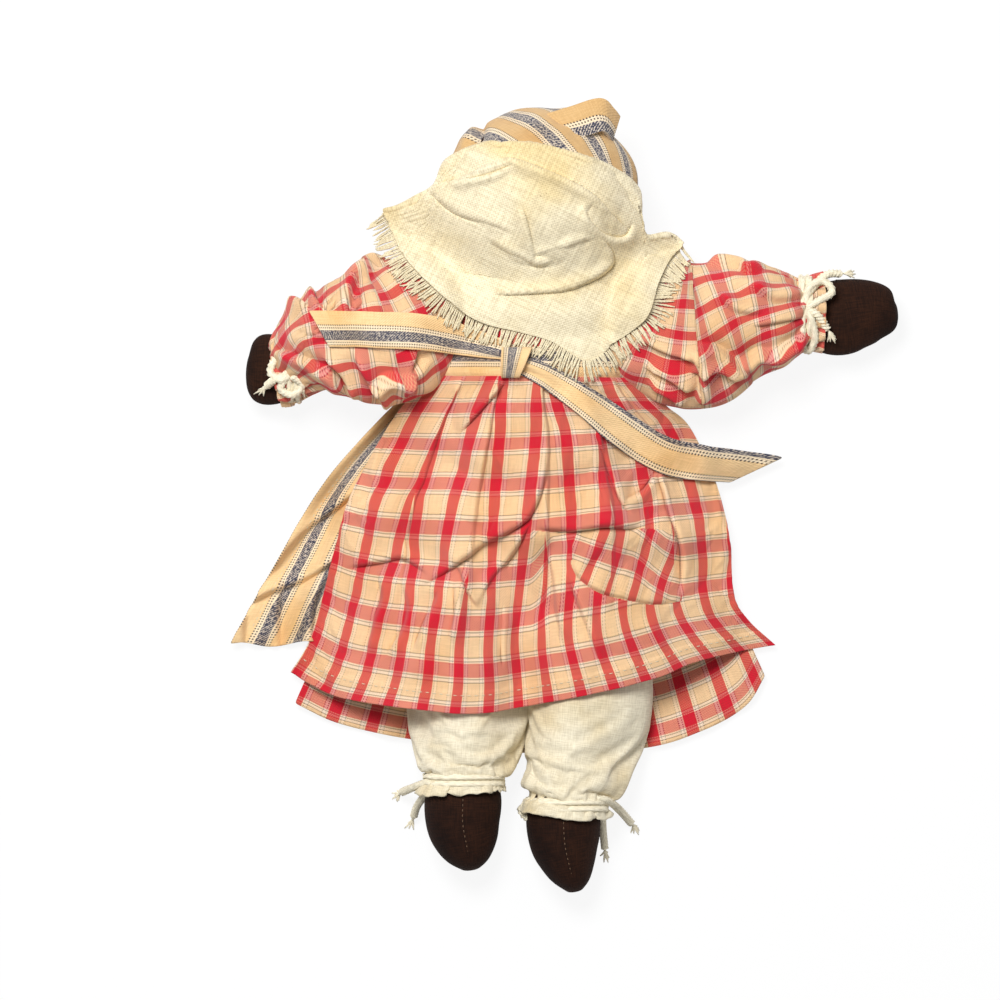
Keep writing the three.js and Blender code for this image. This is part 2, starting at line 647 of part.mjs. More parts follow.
// A string once round a wrist or an ankle, its two ends side by side at the outer side and left to hang.
function tieSolid(centre, along, out, radius, grow) {
  const round = new THREE.Vector3().crossVectors(along, out).normalize();
  const outward = new THREE.Vector3().crossVectors(round, along).normalize();
  const reach = radius + STRING_RADIUS + STRING_SLACK;
  const apart = 1.3 * (STRING_RADIUS + FIT);
  const spot = (forward, sideways, off) => centre.clone().addScaledVector(along, forward)
    .addScaledVector(round, sideways).addScaledVector(outward, off);
  const points = [
    spot(TIE_TAIL - apart, -0.55 * reach, reach + 0.8 * TIE_LIFT),
    spot(0.5 * TIE_TAIL - apart, -0.65 * reach, reach + TIE_LIFT),
    spot(-apart, -0.45 * reach, reach + 0.4 * TIE_LIFT),
  ];
  const turns = 12;
  for (let k = 0; k <= turns; k++) {
    const turn = (2 * Math.PI * k) / turns;
    const advance = THREE.MathUtils.lerp(-apart, apart, k / turns);
    points.push(spot(advance, reach * Math.sin(turn), reach * Math.cos(turn)));
  }
  points.push(
    spot(apart, 0.45 * reach, reach + 0.4 * TIE_LIFT),
    spot(0.4 * TIE_TAIL + apart, 0.7 * reach, reach + TIE_LIFT),
    spot(0.9 * TIE_TAIL + apart, 0.35 * reach, reach + TIE_LIFT),
  );
  const profile = new THREE.Shape().absarc(0, 0, STRING_RADIUS + grow, 0, 2 * Math.PI);
  const path = new THREE.CatmullRomCurve3(points, false, "centripetal");
  return solid(new THREE.ExtrudeGeometry(profile, { steps: 20, curveSegments: 3, extrudePath: path }));
}

function wristTie(arm, grow) {
  const path = sleevePath(arm);
  const share = 1 - CUFF_LENGTH / path.getLength();
  return tieSolid(path.getPointAt(share), path.getTangentAt(share), UP, WRIST_RADIUS, grow);
}

function ankleTie({ path, sign }, grow) {
  const share = PANTALOON_LENGTH / path.getLength();
  const out = new THREE.Vector3(sign, 0, 0.5);
  return tieSolid(path.getPointAt(share), path.getTangentAt(share), out, ANKLE_RADIUS, grow);
}

// Apron and skirt, spread from the waist to the floor: u runs from left to right, v from waist to hem.

const ridge = (turns) => Math.max(0, Math.cos(2 * Math.PI * turns)) ** 2;
const smooth = (low, high, value) => THREE.MathUtils.smoothstep(value, low, high);

function skirtSpot(u, v, length) {
  const across = 2 * u - 1;
  const half = THREE.MathUtils.lerp(SKIRT_HALF_WAIST, SKIRT_HALF_HEM, Math.max(0, v) ** 0.85);
  const rise = (across < 0 ? HEM_RISE_LEFT : HEM_RISE_RIGHT) * across * across;
  const x = across * half + BODY_LEAN * (1 - v);
  return new THREE.Vector3(x, BAND_LOW - FIT - v * (length - rise), 0);
}

function skirtFrontAt(u, v) {
  return skirtSpot(u, v, SKIRT_FRONT_LENGTH).setZ(CLOTH + FIT);
}

// The apron's columns crowd to the left, where its pleats show.
function apronAt(column, v) {
  const u = column ** 1.6;
  const left = THREE.MathUtils.lerp(-APRON_HALF_TOP, -APRON_LEFT, v);
  const right = THREE.MathUtils.lerp(APRON_HALF_TOP, APRON_RIGHT, v);
  const x = THREE.MathUtils.lerp(left, right, u) + BODY_LEAN * (1 - v);
  const y = BAND_LOW - FIT - v * APRON_LENGTH;
  const alongSkirt = (v * APRON_LENGTH) / (SKIRT_FRONT_LENGTH - HEM_RISE_LEFT);
  const skirtEdge = skirtSpot(0, alongSkirt, SKIRT_FRONT_LENGTH).x;
  const clear = smooth(CLOTH, 2 * APRON_PLEAT, skirtEdge - x);
  return new THREE.Vector3(x, y, APRON_PLEAT * clear * ridge(0.5 + 9 * column) * v);
}

const relief = new Relief();

function skirtBackAt(ground) {
  return (u, v) => {
    const p = skirtSpot(u, v, SKIRT_BACK_LENGTH);
    const fold = SKIRT_FOLD * ridge(SKIRT_FOLD_COUNT * u + 0.12 * v) * smooth(0.1, 0.9, v);
    return p.setZ(Math.max(BED_Z, ground.at(p.x, p.y) + DRAPE) + fold);
  };
}

// Strips of the sash, laid over what is beneath them.
function tailAt(ground, course, endSlant) {
  return (u, v) => {
    const share = THREE.MathUtils.clamp(v, 0, 1);
    const along = course.getTangentAt(share);
    const side = new THREE.Vector3(along.y, -along.x, 0).normalize();
    const width = THREE.MathUtils.lerp(TAIL_NECK, TAIL_WIDTH, smooth(0, 0.3, v));
    const p = course.getPointAt(share).addScaledVector(side, (u - 0.5) * width);
    p.addScaledVector(along, endSlant * (u - 0.5) * smooth(0.75, 1, v));
    return p.setZ(ground.at(p.x, p.y) + DRAPE);
  };
}

function course(start, legs) {
  const points = [start];
  for (const [length, heading] of legs) {
    const turn = THREE.MathUtils.degToRad(heading);
    const step = new THREE.Vector3(Math.cos(turn), Math.sin(turn), 0);
    points.push(points.at(-1).clone().addScaledVector(step, length));
  }
  return new THREE.CatmullRomCurve3(points, false, "centripetal");
}

// Shawl: u runs from the left corner to the right, v from the edge on the head to the fringed edge.

const flat = (x, y) => new THREE.Vector3(NECK.x + x, NECK_Y + y, 0);
const shawlTop = new THREE.CatmullRomCurve3([
  flat(-1.05 * SHAWL_SIDE, 0.37 * SHAWL_RISE),
  flat(-0.58 * SHAWL_SIDE, 0.58 * SHAWL_RISE),
  flat(-0.45 * SHAWL_SIDE, 0.85 * SHAWL_RISE),
  flat(-0.05 * SHAWL_SIDE, SHAWL_RISE),
  flat(0.38 * SHAWL_SIDE, 0.9 * SHAWL_RISE),
  flat(0.64 * SHAWL_SIDE, 0.58 * SHAWL_RISE),
  flat(0.72 * SHAWL_SIDE, 0.25 * SHAWL_RISE),
  flat(0.96 * SHAWL_SIDE, 0.18 * SHAWL_RISE),
], false, "centripetal");
const shawlPoint = new THREE.CatmullRomCurve3([
  flat(-1.05 * SHAWL_SIDE, 0.27 * SHAWL_DROP),
  flat(-0.64 * SHAWL_SIDE, -0.36 * SHAWL_DROP),
  flat(-0.09 * SHAWL_SIDE, -0.74 * SHAWL_DROP),
  flat(0.34 * SHAWL_SIDE, -SHAWL_DROP),
  flat(0.74 * SHAWL_SIDE, -0.66 * SHAWL_DROP),
  flat(0.8 * SHAWL_SIDE, -0.38 * SHAWL_DROP),
  flat(0.82 * SHAWL_SIDE, -0.14 * SHAWL_DROP),
  flat(0.96 * SHAWL_SIDE, 0.06 * SHAWL_DROP),
], false, "centripetal");

function shawlAt(ground) {
  return (u, v) => {
    const share = THREE.MathUtils.clamp(u, 0, 1);
    const p = shawlTop.getPointAt(share).lerp(shawlPoint.getPointAt(share), v);
    return p.setZ(ground.at(p.x, p.y) + DRAPE);
  };
}

// Strands along the shawl's lower edge, as one comb of pointed tufts on a thin selvedge.
function fringeSolid(ground) {
  const count = 2 * Math.floor(shawlPoint.getLength() / FRINGE_STEP);
  const combAt = (u, v) => {
    const along = shawlPoint.getTangentAt(u);
    const out = new THREE.Vector3(along.y, -along.x, 0).normalize();
    const tuft = Math.round(u * count) % 2;
    const reach = FIT + v * (tuft ? FRINGE_LENGTH : STRAND);
    const p = shawlPoint.getPointAt(u).addScaledVector(out, reach);
    return p.setZ(ground.at(p.x, p.y) + DRAPE);
  };
  return solid(sheet(count, 1, combAt));
}

// The kerchief's knot at the crown and the flat tail that stands out of it

const KNOT_TURN = THREE.MathUtils.degToRad(60);
const KERCHIEF_TAIL_TURN = THREE.MathUtils.degToRad(12);
const crownSpot = new THREE.Vector3(
  HEAD.x + (HEAD_WIDTH / 2) * Math.cos(KNOT_TURN),
  HEAD.y + (HEAD_LENGTH / 2) * Math.sin(KNOT_TURN),
  HEAD.z + KERCHIEF_KNOT_RISE,
);
const fatKerchief = headOuter(2 * FIT + CLOTH + KERCHIEF_FOLD);
function kerchiefKnot(grow) {
  const radius = KERCHIEF_KNOT_RADIUS + grow;
  return ball(crownSpot, radius, 1.1 * radius, 10, 6).subtract(fatKerchief);
}

function kerchiefTailAt(u, v) {
  const out = new THREE.Vector3(Math.cos(KERCHIEF_TAIL_TURN), Math.sin(KERCHIEF_TAIL_TURN), 0);
  const across = new THREE.Vector3(-out.y, out.x, 0);
  const reach = (v - 0.5) * KERCHIEF_TAIL_LENGTH;
  const p = crownSpot.clone().addScaledVector(out, reach);
  p.addScaledVector(across, (u - 0.4) * KERCHIEF_TAIL_WIDTH);
  p.z += KERCHIEF_TAIL_LIFT - KERCHIEF_TAIL_DIP * v + KERCHIEF_TAIL_CURL * Math.sin(Math.PI * u);
  return p;
}

// Build the pieces, from the floor up

const fatBody = [bodiceOuter(FIT), fatTorso(FIT), bandOuter(FIT)];
const fatSleeves = Object.values(ARMS).map((arm) => sleeveOuter(arm, FIT).add(armSolid(arm, FIT)));
const skirtFront = (grow) => solid(sheet(10, 4, skirtFrontAt, grow));
const apron = (grow) => solid(sheet(16, 4, apronAt, grow));

for (const [side, leg] of Object.entries(LEGS)) {
  const group = new THREE.Group();
  const cloth = clearOf(pantaloonOuter(leg, 0), [legSolid(leg, 2 * FIT), ankleTie(leg, FIT)]);
  piece(group, `leg_${side}`, geometryOf(legSolid(leg, 0)), FABRICS.brown);
  relief.add(piece(group, `pantaloon_${side}`, geometryOf(cloth), FABRICS.cotton).geometry);
  piece(group, `ankle_tie_${side}`, geometryOf(ankleTie(leg, 0)), FABRICS.string);
  doll.add(group);
}

piece(doll, "apron_panel", geometryOf(apron(0)), FABRICS.ticking);
piece(doll, "skirt_front", geometryOf(skirtFront(0)), FABRICS.check);
relief.add(piece(doll, "torso", geometryOf(torsoSolid), FABRICS.muslin).geometry);
relief.add(piece(doll, "pantaloon_seat", geometryOf(seatSolid), FABRICS.cotton).geometry);
const underSkirt = [...fatLegs, fatTorso(FIT), seatOuter(FIT)];
const over = (ground, bodies) => bodies.reduce((rest, body) => rest.add(geometryOf(body)), ground);
const skirtGround = over(new Relief(), underSkirt).tent(SKIRT_SLOPE);
const skirtBack = (grow) => solid(sheet(20, 10, skirtBackAt(skirtGround), grow));
const skirtBackShape = geometryOf(clearOf(skirtBack(0), underSkirt), CLOTH_SMOOTHING);
relief.add(piece(doll, "skirt_back", skirtBackShape, FABRICS.check).geometry);
relief.add(piece(doll, "bodice", geometryOf(largest(bodiceSolid), CLOTH_SMOOTHING), FABRICS.check).geometry);
relief.add(piece(doll, "apron_waistband", geometryOf(bandSolid), FABRICS.ticking).geometry);

const lyingClothes = [...fatBody, skirtBack(FIT), skirtFront(FIT), apron(FIT)];
for (const [side, arm] of Object.entries(ARMS)) {
  const group = new THREE.Group();
  const inside = [armSolid(arm, SLEEVE_ROOM), wristTie(arm, FIT)];
  const sleeve = clearOf(sleeveOuter(arm, 0), [...inside, ...lyingClothes]);
  relief.add(piece(group, `arm_${side}`, geometryOf(armSolid(arm, 0)), FABRICS.brown).geometry);
  relief.add(piece(group, `sleeve_${side}`, geometryOf(sleeve, CLOTH_SMOOTHING), FABRICS.check).geometry);
  piece(group, `wrist_tie_${side}`, geometryOf(wristTie(arm, 0)), FABRICS.string);
  doll.add(group);
}

const knotSpot = new THREE.Vector3(KNOT_X, WAIST_Y, TORSO_Z + TORSO_DEPTH / 2 + BAND_WALL + KNOT_RISE);

function sashKnot(grow) {
  const shape = new THREE.SphereGeometry(1, 10, 6).rotateX(Math.PI / 2);
  shape.scale(KNOT_LENGTH / 3 + grow, KNOT_LENGTH / 2 + grow, KNOT_LENGTH / 4 + grow);
  return solid(shape.translate(knotSpot.x, knotSpot.y, knotSpot.z));
}

relief.add(piece(doll, "sash_knot", geometryOf(clearOf(sashKnot(0), fatBody)), FABRICS.ticking).geometry);
const sashGround = relief.copy().tent(SHAWL_SLOPE);
const besideKnot = new THREE.Vector3(KNOT_LENGTH / 3, -TAIL_OFFSET, 0);
const LEFT_HEADINGS = [163, 178];
const RIGHT_HEADINGS = [328, 352];
const bend = (length, headings) => headings.map((heading) => [length / headings.length, heading]);
const courses = {
  left: course(knotSpot.clone().sub(besideKnot), bend(LEFT_TAIL, LEFT_HEADINGS)),
  right: course(knotSpot.clone().add(besideKnot), bend(RIGHT_TAIL, RIGHT_HEADINGS)),
};
const sashTail = {
  left: (grow) => solid(sheet(2, 13, tailAt(sashGround, courses.left, TAIL_WIDTH), grow)),
  right: (grow) => solid(sheet(2, 15, tailAt(sashGround, courses.right, -TAIL_WIDTH), grow)),
};
for (const side of ["left", "right"]) {
  const tail = clearOf(sashTail[side](0), [...fatBody, ...fatSleeves, skirtBack(FIT), sashKnot(FIT)]);
  relief.add(piece(doll, `sash_tail_${side}`, geometryOf(tail), FABRICS.ticking).geometry);
}

const headGroup = new THREE.Group();
relief.add(piece(headGroup, "head", geometryOf(headSolid), FABRICS.brown).geometry);
piece(headGroup, "kerchief_wrap", geometryOf(kerchiefSolid, CLOTH_SMOOTHING), FABRICS.ticking);
piece(headGroup, "kerchief_knot", geometryOf(largest(kerchiefKnot(0))), FABRICS.ticking);
const kerchiefTail = clearOf(solid(sheet(4, 5, kerchiefTailAt)), [kerchiefKnot(FIT), fatKerchief]);
piece(headGroup, "kerchief_tail", geometryOf(kerchiefTail), FABRICS.ticking);
doll.add(headGroup);

const fatSash = [sashKnot(FIT), sashTail.left(FIT), sashTail.right(FIT)];
const underShawl = [...fatBody, ...fatSleeves, fatKerchief, ...fatSash];
const shawlGround = over(relief.copy(), underShawl).tent(SHAWL_SLOPE);
const shawl = (grow) => solid(sheet(20, 8, shawlAt(shawlGround), grow));
piece(doll, "shawl", geometryOf(clearOf(shawl(0), underShawl), CLOTH_SMOOTHING), FABRICS.muslin);
const fringe = clearOf(fringeSolid(shawlGround), [...underShawl, shawl(FIT)]);
piece(doll, "shawl_fringe", geometryOf(fringe, CLOTH_SMOOTHING), FABRICS.muslin);

export default doll;
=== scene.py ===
"""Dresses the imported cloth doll: woven cloths, stuffing, string and stitches around its fixed frame."""
import json
import math

import bpy
import numpy as np
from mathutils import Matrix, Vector


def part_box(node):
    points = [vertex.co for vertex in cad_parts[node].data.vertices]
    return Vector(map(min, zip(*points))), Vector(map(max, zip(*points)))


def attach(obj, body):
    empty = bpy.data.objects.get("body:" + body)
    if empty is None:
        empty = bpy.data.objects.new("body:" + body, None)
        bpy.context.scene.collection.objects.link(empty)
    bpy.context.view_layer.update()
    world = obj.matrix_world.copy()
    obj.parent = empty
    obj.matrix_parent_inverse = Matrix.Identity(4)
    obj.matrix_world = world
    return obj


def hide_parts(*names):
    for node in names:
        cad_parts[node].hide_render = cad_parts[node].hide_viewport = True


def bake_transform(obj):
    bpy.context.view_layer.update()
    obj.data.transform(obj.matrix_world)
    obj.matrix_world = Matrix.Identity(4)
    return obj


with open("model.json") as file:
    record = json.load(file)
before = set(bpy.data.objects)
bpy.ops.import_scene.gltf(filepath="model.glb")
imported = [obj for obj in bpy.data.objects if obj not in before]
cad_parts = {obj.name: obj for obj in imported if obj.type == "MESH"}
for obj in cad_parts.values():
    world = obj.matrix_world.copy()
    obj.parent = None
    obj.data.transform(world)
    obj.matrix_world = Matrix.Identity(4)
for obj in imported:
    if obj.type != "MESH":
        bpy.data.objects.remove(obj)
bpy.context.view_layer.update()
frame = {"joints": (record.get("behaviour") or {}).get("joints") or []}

bl_info = {
    "name": "Primitive cloth doll",
    "version": (1, 0, 0),
    "blender": (4, 5, 0),
    "location": "View3D > Sidebar > Doll",
    "description": "Builds the looks of a lying cloth doll around its packed frame",
    "category": "Object",
}

MM = 0.001
PIVOT = {joint["name"]: np.array(joint["pos_m"]) / MM for joint in frame["joints"]}

UP = np.array([0.0, 0.0, 1.0])
# Keeps the length of an empty direction from being zero.
TINY = 1e-9
# Points on each stretch of a smooth curve, on a whole edge and on a fold's line.
SPLINE_STEPS = 24
EDGE_POINTS = 200
FOLD_POINTS = 80
# A fold's line fades in and out over this share of its length.
FOLD_FADE = 0.25
# How sharply a fold's ridge turns into its hollow.
FOLD_STEEPNESS = 4.5
# Where the thin groove beside a fold lies and how wide it is, in millimetres.
GROOVE_ASIDE = 0.6
GROOVE_WIDTH = 0.8
# How steeply cloth hangs from what it lies over.
CLOTH_SLOPE = 0.8

# Cloth falls at ten times its size, where these springs and gaps suit it.
FALL_SCALE = 10.0
FALL_FLOOR_REACH = 400.0
LANDING_GAP = 0.006
LANDING_GRIP = 25
FALLING_GAP = 0.008
FALLING_CLOTH = {
    "quality": 6, "mass": 0.25, "tension_stiffness": 18, "compression_stiffness": 18,
    "shear_stiffness": 6, "bending_stiffness": 0.5, "air_damping": 3, "vertex_group_mass": "pins",
}


def paint(red, green, blue):
    """A colour as a screen shows it, 0 to 255, as the shader's linear colour."""
    shares = [value / 255 for value in (red, green, blue)]
    return [s / 12.92 if s <= 0.04045 else ((s + 0.055) / 1.055) ** 2.4 for s in shares]


class DollSizes(bpy.types.PropertyGroup):
    """Sizes of the cloths, the sewing and the string"""

    check_across: bpy.props.FloatProperty(
        name="Check across", description="Repeat of the check from bar to bar across the cloth",
        default=0.0172, min=0.002, unit="LENGTH")
    check_along: bpy.props.FloatProperty(
        name="Check along", description="Repeat of the check from bar to bar along the cloth",
        default=0.0196, min=0.002, unit="LENGTH")
    check_bar: bpy.props.FloatProperty(
        name="Check bar", description="Width of a red bar of the check",
        default=0.0055, min=0.001, unit="LENGTH")
    ticking_repeat: bpy.props.FloatProperty(
        name="Ticking repeat", description="Distance between two blue stripes of the ticking",
        default=0.018, min=0.004, unit="LENGTH")
    ticking_stripe: bpy.props.FloatProperty(
        name="Ticking stripe", description="Width of a blue stripe of the ticking",
        default=0.005, min=0.001, unit="LENGTH")
    skirt_width: bpy.props.FloatProperty(
        name="Skirt width", description="Width of the skirt's back before it is gathered",
        default=0.262, min=0.1, unit="LENGTH")
    skirt_length: bpy.props.FloatProperty(
        name="Skirt length", description="Length of the skirt's back with the cloth of its tuck",
        default=0.166, min=0.1, unit="LENGTH")
    skirt_tuck: bpy.props.FloatProperty(
        name="Skirt tuck", description="Cloth that the tuck across the back hides",
        default=0.009, min=0.0, unit="LENGTH")
    skirt_hem: bpy.props.FloatProperty(
        name="Skirt hem", description="Depth of the skirt's turned hem",
        default=0.011, min=0.003, unit="LENGTH")
    hem_waves: bpy.props.FloatProperty(
        name="Hem waves", description="Spare cloth in the small waves of the hem",
        default=0.20, min=0.0, max=1.0, subtype="FACTOR")
    sleeve_spare: bpy.props.FloatProperty(
        name="Sleeve spare", description="Spare cloth in the folds of a sleeve",
        default=0.22, min=0.0, max=1.0, subtype="FACTOR")
    pantaloon_spare: bpy.props.FloatProperty(
        name="Pantaloon spare", description="Spare cloth that wrinkles a pantaloon leg",
        default=0.08, min=0.0, max=0.3, subtype="FACTOR")
    sash_width: bpy.props.FloatProperty(
        name="Sash width", description="Width of the sash when it lies flat",
        default=0.0167, min=0.005, unit="LENGTH")
    fringe_length: bpy.props.FloatProperty(
        name="Fringe length", description="Mean length of the shawl's frayed yarns",
        default=0.0095, min=0.002, unit="LENGTH")
    fringe_step: bpy.props.FloatProperty(
        name="Fringe step", description="Distance between two yarns of the fringe",
        default=0.00085, min=0.0004, unit="LENGTH")
    string_radius: bpy.props.FloatProperty(
        name="String radius", description="Radius of the string at wrists and ankles",
        default=0.002, min=0.0005, unit="LENGTH")
    stitch_length: bpy.props.FloatProperty(
        name="Stitch length", description="Length of a hem stitch",
        default=0.0019, min=0.0005, unit="LENGTH")
    thread_radius: bpy.props.FloatProperty(
        name="Thread radius", description="Radius of the sewing thread",
        default=0.00022, min=0.0001, unit="LENGTH")
    cloth_thickness: bpy.props.FloatProperty(
        name="Cloth thickness", description="Thickness of the dress cloth",
        default=0.0006, min=0.0002, unit="LENGTH")


class DollColours(bpy.types.PropertyGroup):
    """Colours of the cloths, yarns and threads"""

    check_ground: bpy.props.FloatVectorProperty(
        name="Check ground", description="Ground of the checked homespun",
        default=paint(247, 208, 160), min=0.0, max=1.0, subtype="COLOR")
    check_red: bpy.props.FloatVectorProperty(
        name="Check red", description="Red bars along the checked homespun",
        default=paint(214, 12, 40), min=0.0, max=1.0, subtype="COLOR")
    check_rose: bpy.props.FloatVectorProperty(
        name="Check rose", description="Red bars across the checked homespun",
        default=paint(212, 18, 62), min=0.0, max=1.0, subtype="COLOR")
    check_pale: bpy.props.FloatVectorProperty(
        name="Check pale", description="Pale lines beside the bars",
        default=paint(255, 240, 226), min=0.0, max=1.0, subtype="COLOR")
    check_dark: bpy.props.FloatVectorProperty(
        name="Check dark", description="Dark lines beside the bars",
        default=paint(48, 22, 26), min=0.0, max=1.0, subtype="COLOR")
    ticking_tan: bpy.props.FloatVectorProperty(
        name="Ticking tan", description="Ground of the striped ticking",
        default=paint(249, 213, 160), min=0.0, max=1.0, subtype="COLOR")
    # The kerchief's ticking is given a darker tan than the apron's and the sash's.
    kerchief_tan: bpy.props.FloatVectorProperty(
        name="Kerchief tan", description="Ground colour of the kerchief's ticking",
        default=paint(214, 176, 122), min=0.0, max=1.0, subtype="COLOR")
    ticking_blue: bpy.props.FloatVectorProperty(
        name="Ticking blue", description="Dark yarns of the ticking's stripes",
        default=paint(58, 60, 78), min=0.0, max=1.0, subtype="COLOR")
    shawl_cream: bpy.props.FloatVectorProperty(
        name="Shawl cream", description="Coarse cotton of the shawl and its fringe",
        default=paint(240, 228, 196), min=0.0, max=1.0, subtype="COLOR")
    cotton_white: bpy.props.FloatVectorProperty(
        name="Cotton white", description="White cotton of the pantaloons",
        default=paint(240, 231, 206), min=0.0, max=1.0, subtype="COLOR")
    muslin: bpy.props.FloatVectorProperty(
        name="Muslin", description="Unbleached muslin of the torso",
        default=paint(238, 224, 190), min=0.0, max=1.0, subtype="COLOR")
    brown: bpy.props.FloatVectorProperty(
        name="Brown", description="Brown cotton of head, hands and feet",
        default=paint(50, 25, 11), min=0.0, max=1.0, subtype="COLOR")
    string: bpy.props.FloatVectorProperty(
        name="String", description="Cotton string of the ties",
        default=paint(255, 246, 220), min=0.0, max=1.0, subtype="COLOR")
    cream_thread: bpy.props.FloatVectorProperty(
        name="Cream thread", description="Thread of the hems and the eyes",
        default=paint(240, 226, 196), min=0.0, max=1.0, subtype="COLOR")
    tan_thread: bpy.props.FloatVectorProperty(
        name="Tan thread", description="Thread of the feet's seams",
        default=paint(110, 82, 58), min=0.0, max=1.0, subtype="COLOR")
    rose_thread: bpy.props.FloatVectorProperty(
        name="Rose thread", description="Thread of the mouth",
        default=paint(196, 108, 100), min=0.0, max=1.0, subtype="COLOR")


class DollStudio(bpy.types.PropertyGroup):
    """Light, floor and camera"""

    lamp_power: bpy.props.FloatProperty(
        name="Lamp power", description="Power of the soft lamp",
        default=24.0, min=0.0, unit="POWER")
    lamp_width: bpy.props.FloatProperty(
        name="Lamp width", description="Width of the soft lamp",
        default=0.5, min=0.1, unit="LENGTH")
    lamp_place: bpy.props.FloatVectorProperty(
        name="Lamp place", description="Where the soft lamp stands",
        default=(-0.26, 0.56, 1.42), unit="LENGTH", subtype="XYZ")
    sky: bpy.props.FloatProperty(
        name="Sky", description="Strength of the even light from all sides",
        default=0.36, min=0.0, max=2.0, subtype="FACTOR")
    floor_shade: bpy.props.FloatVectorProperty(
        name="Floor shade", description="Colour of the pale floor",
        default=(0.93, 0.93, 0.93), min=0.0, max=1.0, subtype="COLOR")
    floor_glow: bpy.props.FloatProperty(
        name="Floor glow", description="How far the camera sees the floor as white",
        default=0.9, min=0.0, max=1.0, subtype="FACTOR")
    lens: bpy.props.FloatProperty(
        name="Lens", description="Focal length of the camera in millimetres",
        default=300.0, min=20.0, unit="CAMERA")
    camera_place: bpy.props.FloatVectorProperty(
        name="Camera place", description="Where the camera stands above the doll",
        default=(-0.0134, -0.0143, 4.01), unit="LENGTH", subtype="XYZ")


def sizes():
    return bpy.context.scene.doll_sizes


def colours():
    return bpy.context.scene.doll_colours


def box_mm(node):
    """The lowest corner, the highest corner and the middle of a node of the frame, in millimetres."""
    low, high = (np.array(corner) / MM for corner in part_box(node))
    return low, high, (low + high) / 2


def unit(vectors, spare=0.0):
    """The same directions, each one long; a little to spare lets an empty one pass."""
    return vectors / (np.linalg.norm(vectors, axis=-1, keepdims=True) + spare)


def full_turn(sides):
    """Angles of evenly spaced sides around a ring."""
    return np.linspace(0, 2 * math.pi, sides, endpoint=False)


def lengths_along(line):
    """How far along a line of points each point lies."""
    steps = np.linalg.norm(np.diff(line, axis=0), axis=1)
    return np.concatenate([[0], np.cumsum(steps)])


def points_at(line, along, wanted):
    """Points of a line at the wanted lengths along it."""
    return np.stack([np.interp(wanted, along, column) for column in line.T], axis=-1)


def spline(points, count):
    """Evenly spaced points on a smooth curve through the given ones."""
    knots = np.asarray(points, float)
    padded = np.vstack([2 * knots[0] - knots[1], knots, 2 * knots[-1] - knots[-2]])
    t = np.linspace(0, 1, SPLINE_STEPS, endpoint=False)[:, None]
    pieces = []
    for a, b, c, d in zip(padded, padded[1:], padded[2:], padded[3:]):
        cubic = 3 * (b - c) + d - a
        square = 2 * a - 5 * b + 4 * c - d
        pieces.append(b + 0.5 * t * (c - a + t * (square + t * cubic)))
    dense = np.vstack(pieces + [knots[-1:]])
    along = lengths_along(dense)
    return points_at(dense, along, np.linspace(0, along[-1], count))


def curve_at(curve, place):
    """Points of a smooth curve at places from 0 to 1 along it."""
    return points_at(spline(curve, EDGE_POINTS), np.linspace(0, 1, EDGE_POINTS), place)


def smooth(value, low, high):
    """0 below low, 1 above high and a soft step between."""
    share = np.clip((value - low) / (high - low), 0, 1)
    return share * share * (3 - 2 * share)


def ripples(x, y, wavelength, seed, count=7):
    """Soft irregular waves of about one unit, the same at each run."""
    chance = np.random.default_rng(seed)
    total = np.zeros(np.broadcast(x, y).shape)
    for _ in range(count):
        turn, phase = chance.uniform(0, 2 * math.pi, 2)
        pitch = wavelength * chance.uniform(0.7, 1.5)
        total += np.sin(2 * math.pi * (x * math.cos(turn) + y * math.sin(turn)) / pitch + phase)
    return total / math.sqrt(count)


def crease(x, y, line, rise, width, hollow=1.0, groove=0.0):
    """Height of a fold along a line: a ridge on its left, a hollow and a thin groove on its right."""
    dense = spline(line, FOLD_POINTS)
    gap = np.stack([x, y], axis=-1)[..., None, :] - dense
    nearest = np.argmin((gap ** 2).sum(axis=-1), axis=-1)
    off = np.take_along_axis(gap, nearest[..., None, None], axis=-2)[..., 0, :]
    step = np.gradient(dense, axis=0)
    pace = np.linalg.norm(step, axis=1).mean()
    way = unit(step)[nearest]
    share = (nearest + (way * off).sum(axis=-1) / pace) / (FOLD_POINTS - 1)
    fade = smooth(share, 0, FOLD_FADE) * (1 - smooth(share, 1 - FOLD_FADE, 1))
    aside = way[..., 0] * off[..., 1] - way[..., 1] * off[..., 0]
    reach = aside / width
    height = np.tanh(FOLD_STEEPNESS * reach) * np.exp(-0.5 * reach ** 2)
    height = np.where(height < 0, hollow * height, height)
    return rise * fade * (height - groove * np.exp(-((aside + GROOVE_ASIDE) / GROOVE_WIDTH) ** 2))


def finer(grid):
    """The same grid with one more point between each two, both ways."""
    for _ in range(2):
        doubled = np.repeat(grid, 2, axis=0)[:-1]
        doubled[1::2] = (grid[:-1] + grid[1:]) / 2
        grid = doubled.swapaxes(0, 1)
    return grid


def tube(path, widths, depths, sides):
    """Oval rings along a path: width lies level, depth stands up from it."""
    count = len(path)
    along = unit(np.gradient(path, axis=0))
    side = unit(np.cross(along, UP))
    top = np.cross(side, along)
    turn = full_turn(sides)
    wide = np.broadcast_to(np.asarray(widths, float), (count,))[:, None, None] / 2
    deep = np.broadcast_to(np.asarray(depths, float), (count,))[:, None, None] / 2
    across = wide * np.cos(turn)[None, :, None] * side[:, None, :]
    upward = deep * np.sin(turn)[None, :, None] * top[:, None, :]
    return path[:, None, :] + across + upward


def stations(rows, count):
    """Path, widths and depths from rows of (x, y, z, width, depth)."""
    made = spline(rows, count)
    return made[:, :3], made[:, 3], made[:, 4]


def flat_map(across, along):
    """A cloth map from distances across and along the cloth."""
    return np.stack(np.broadcast_arrays(across, along), axis=-1)


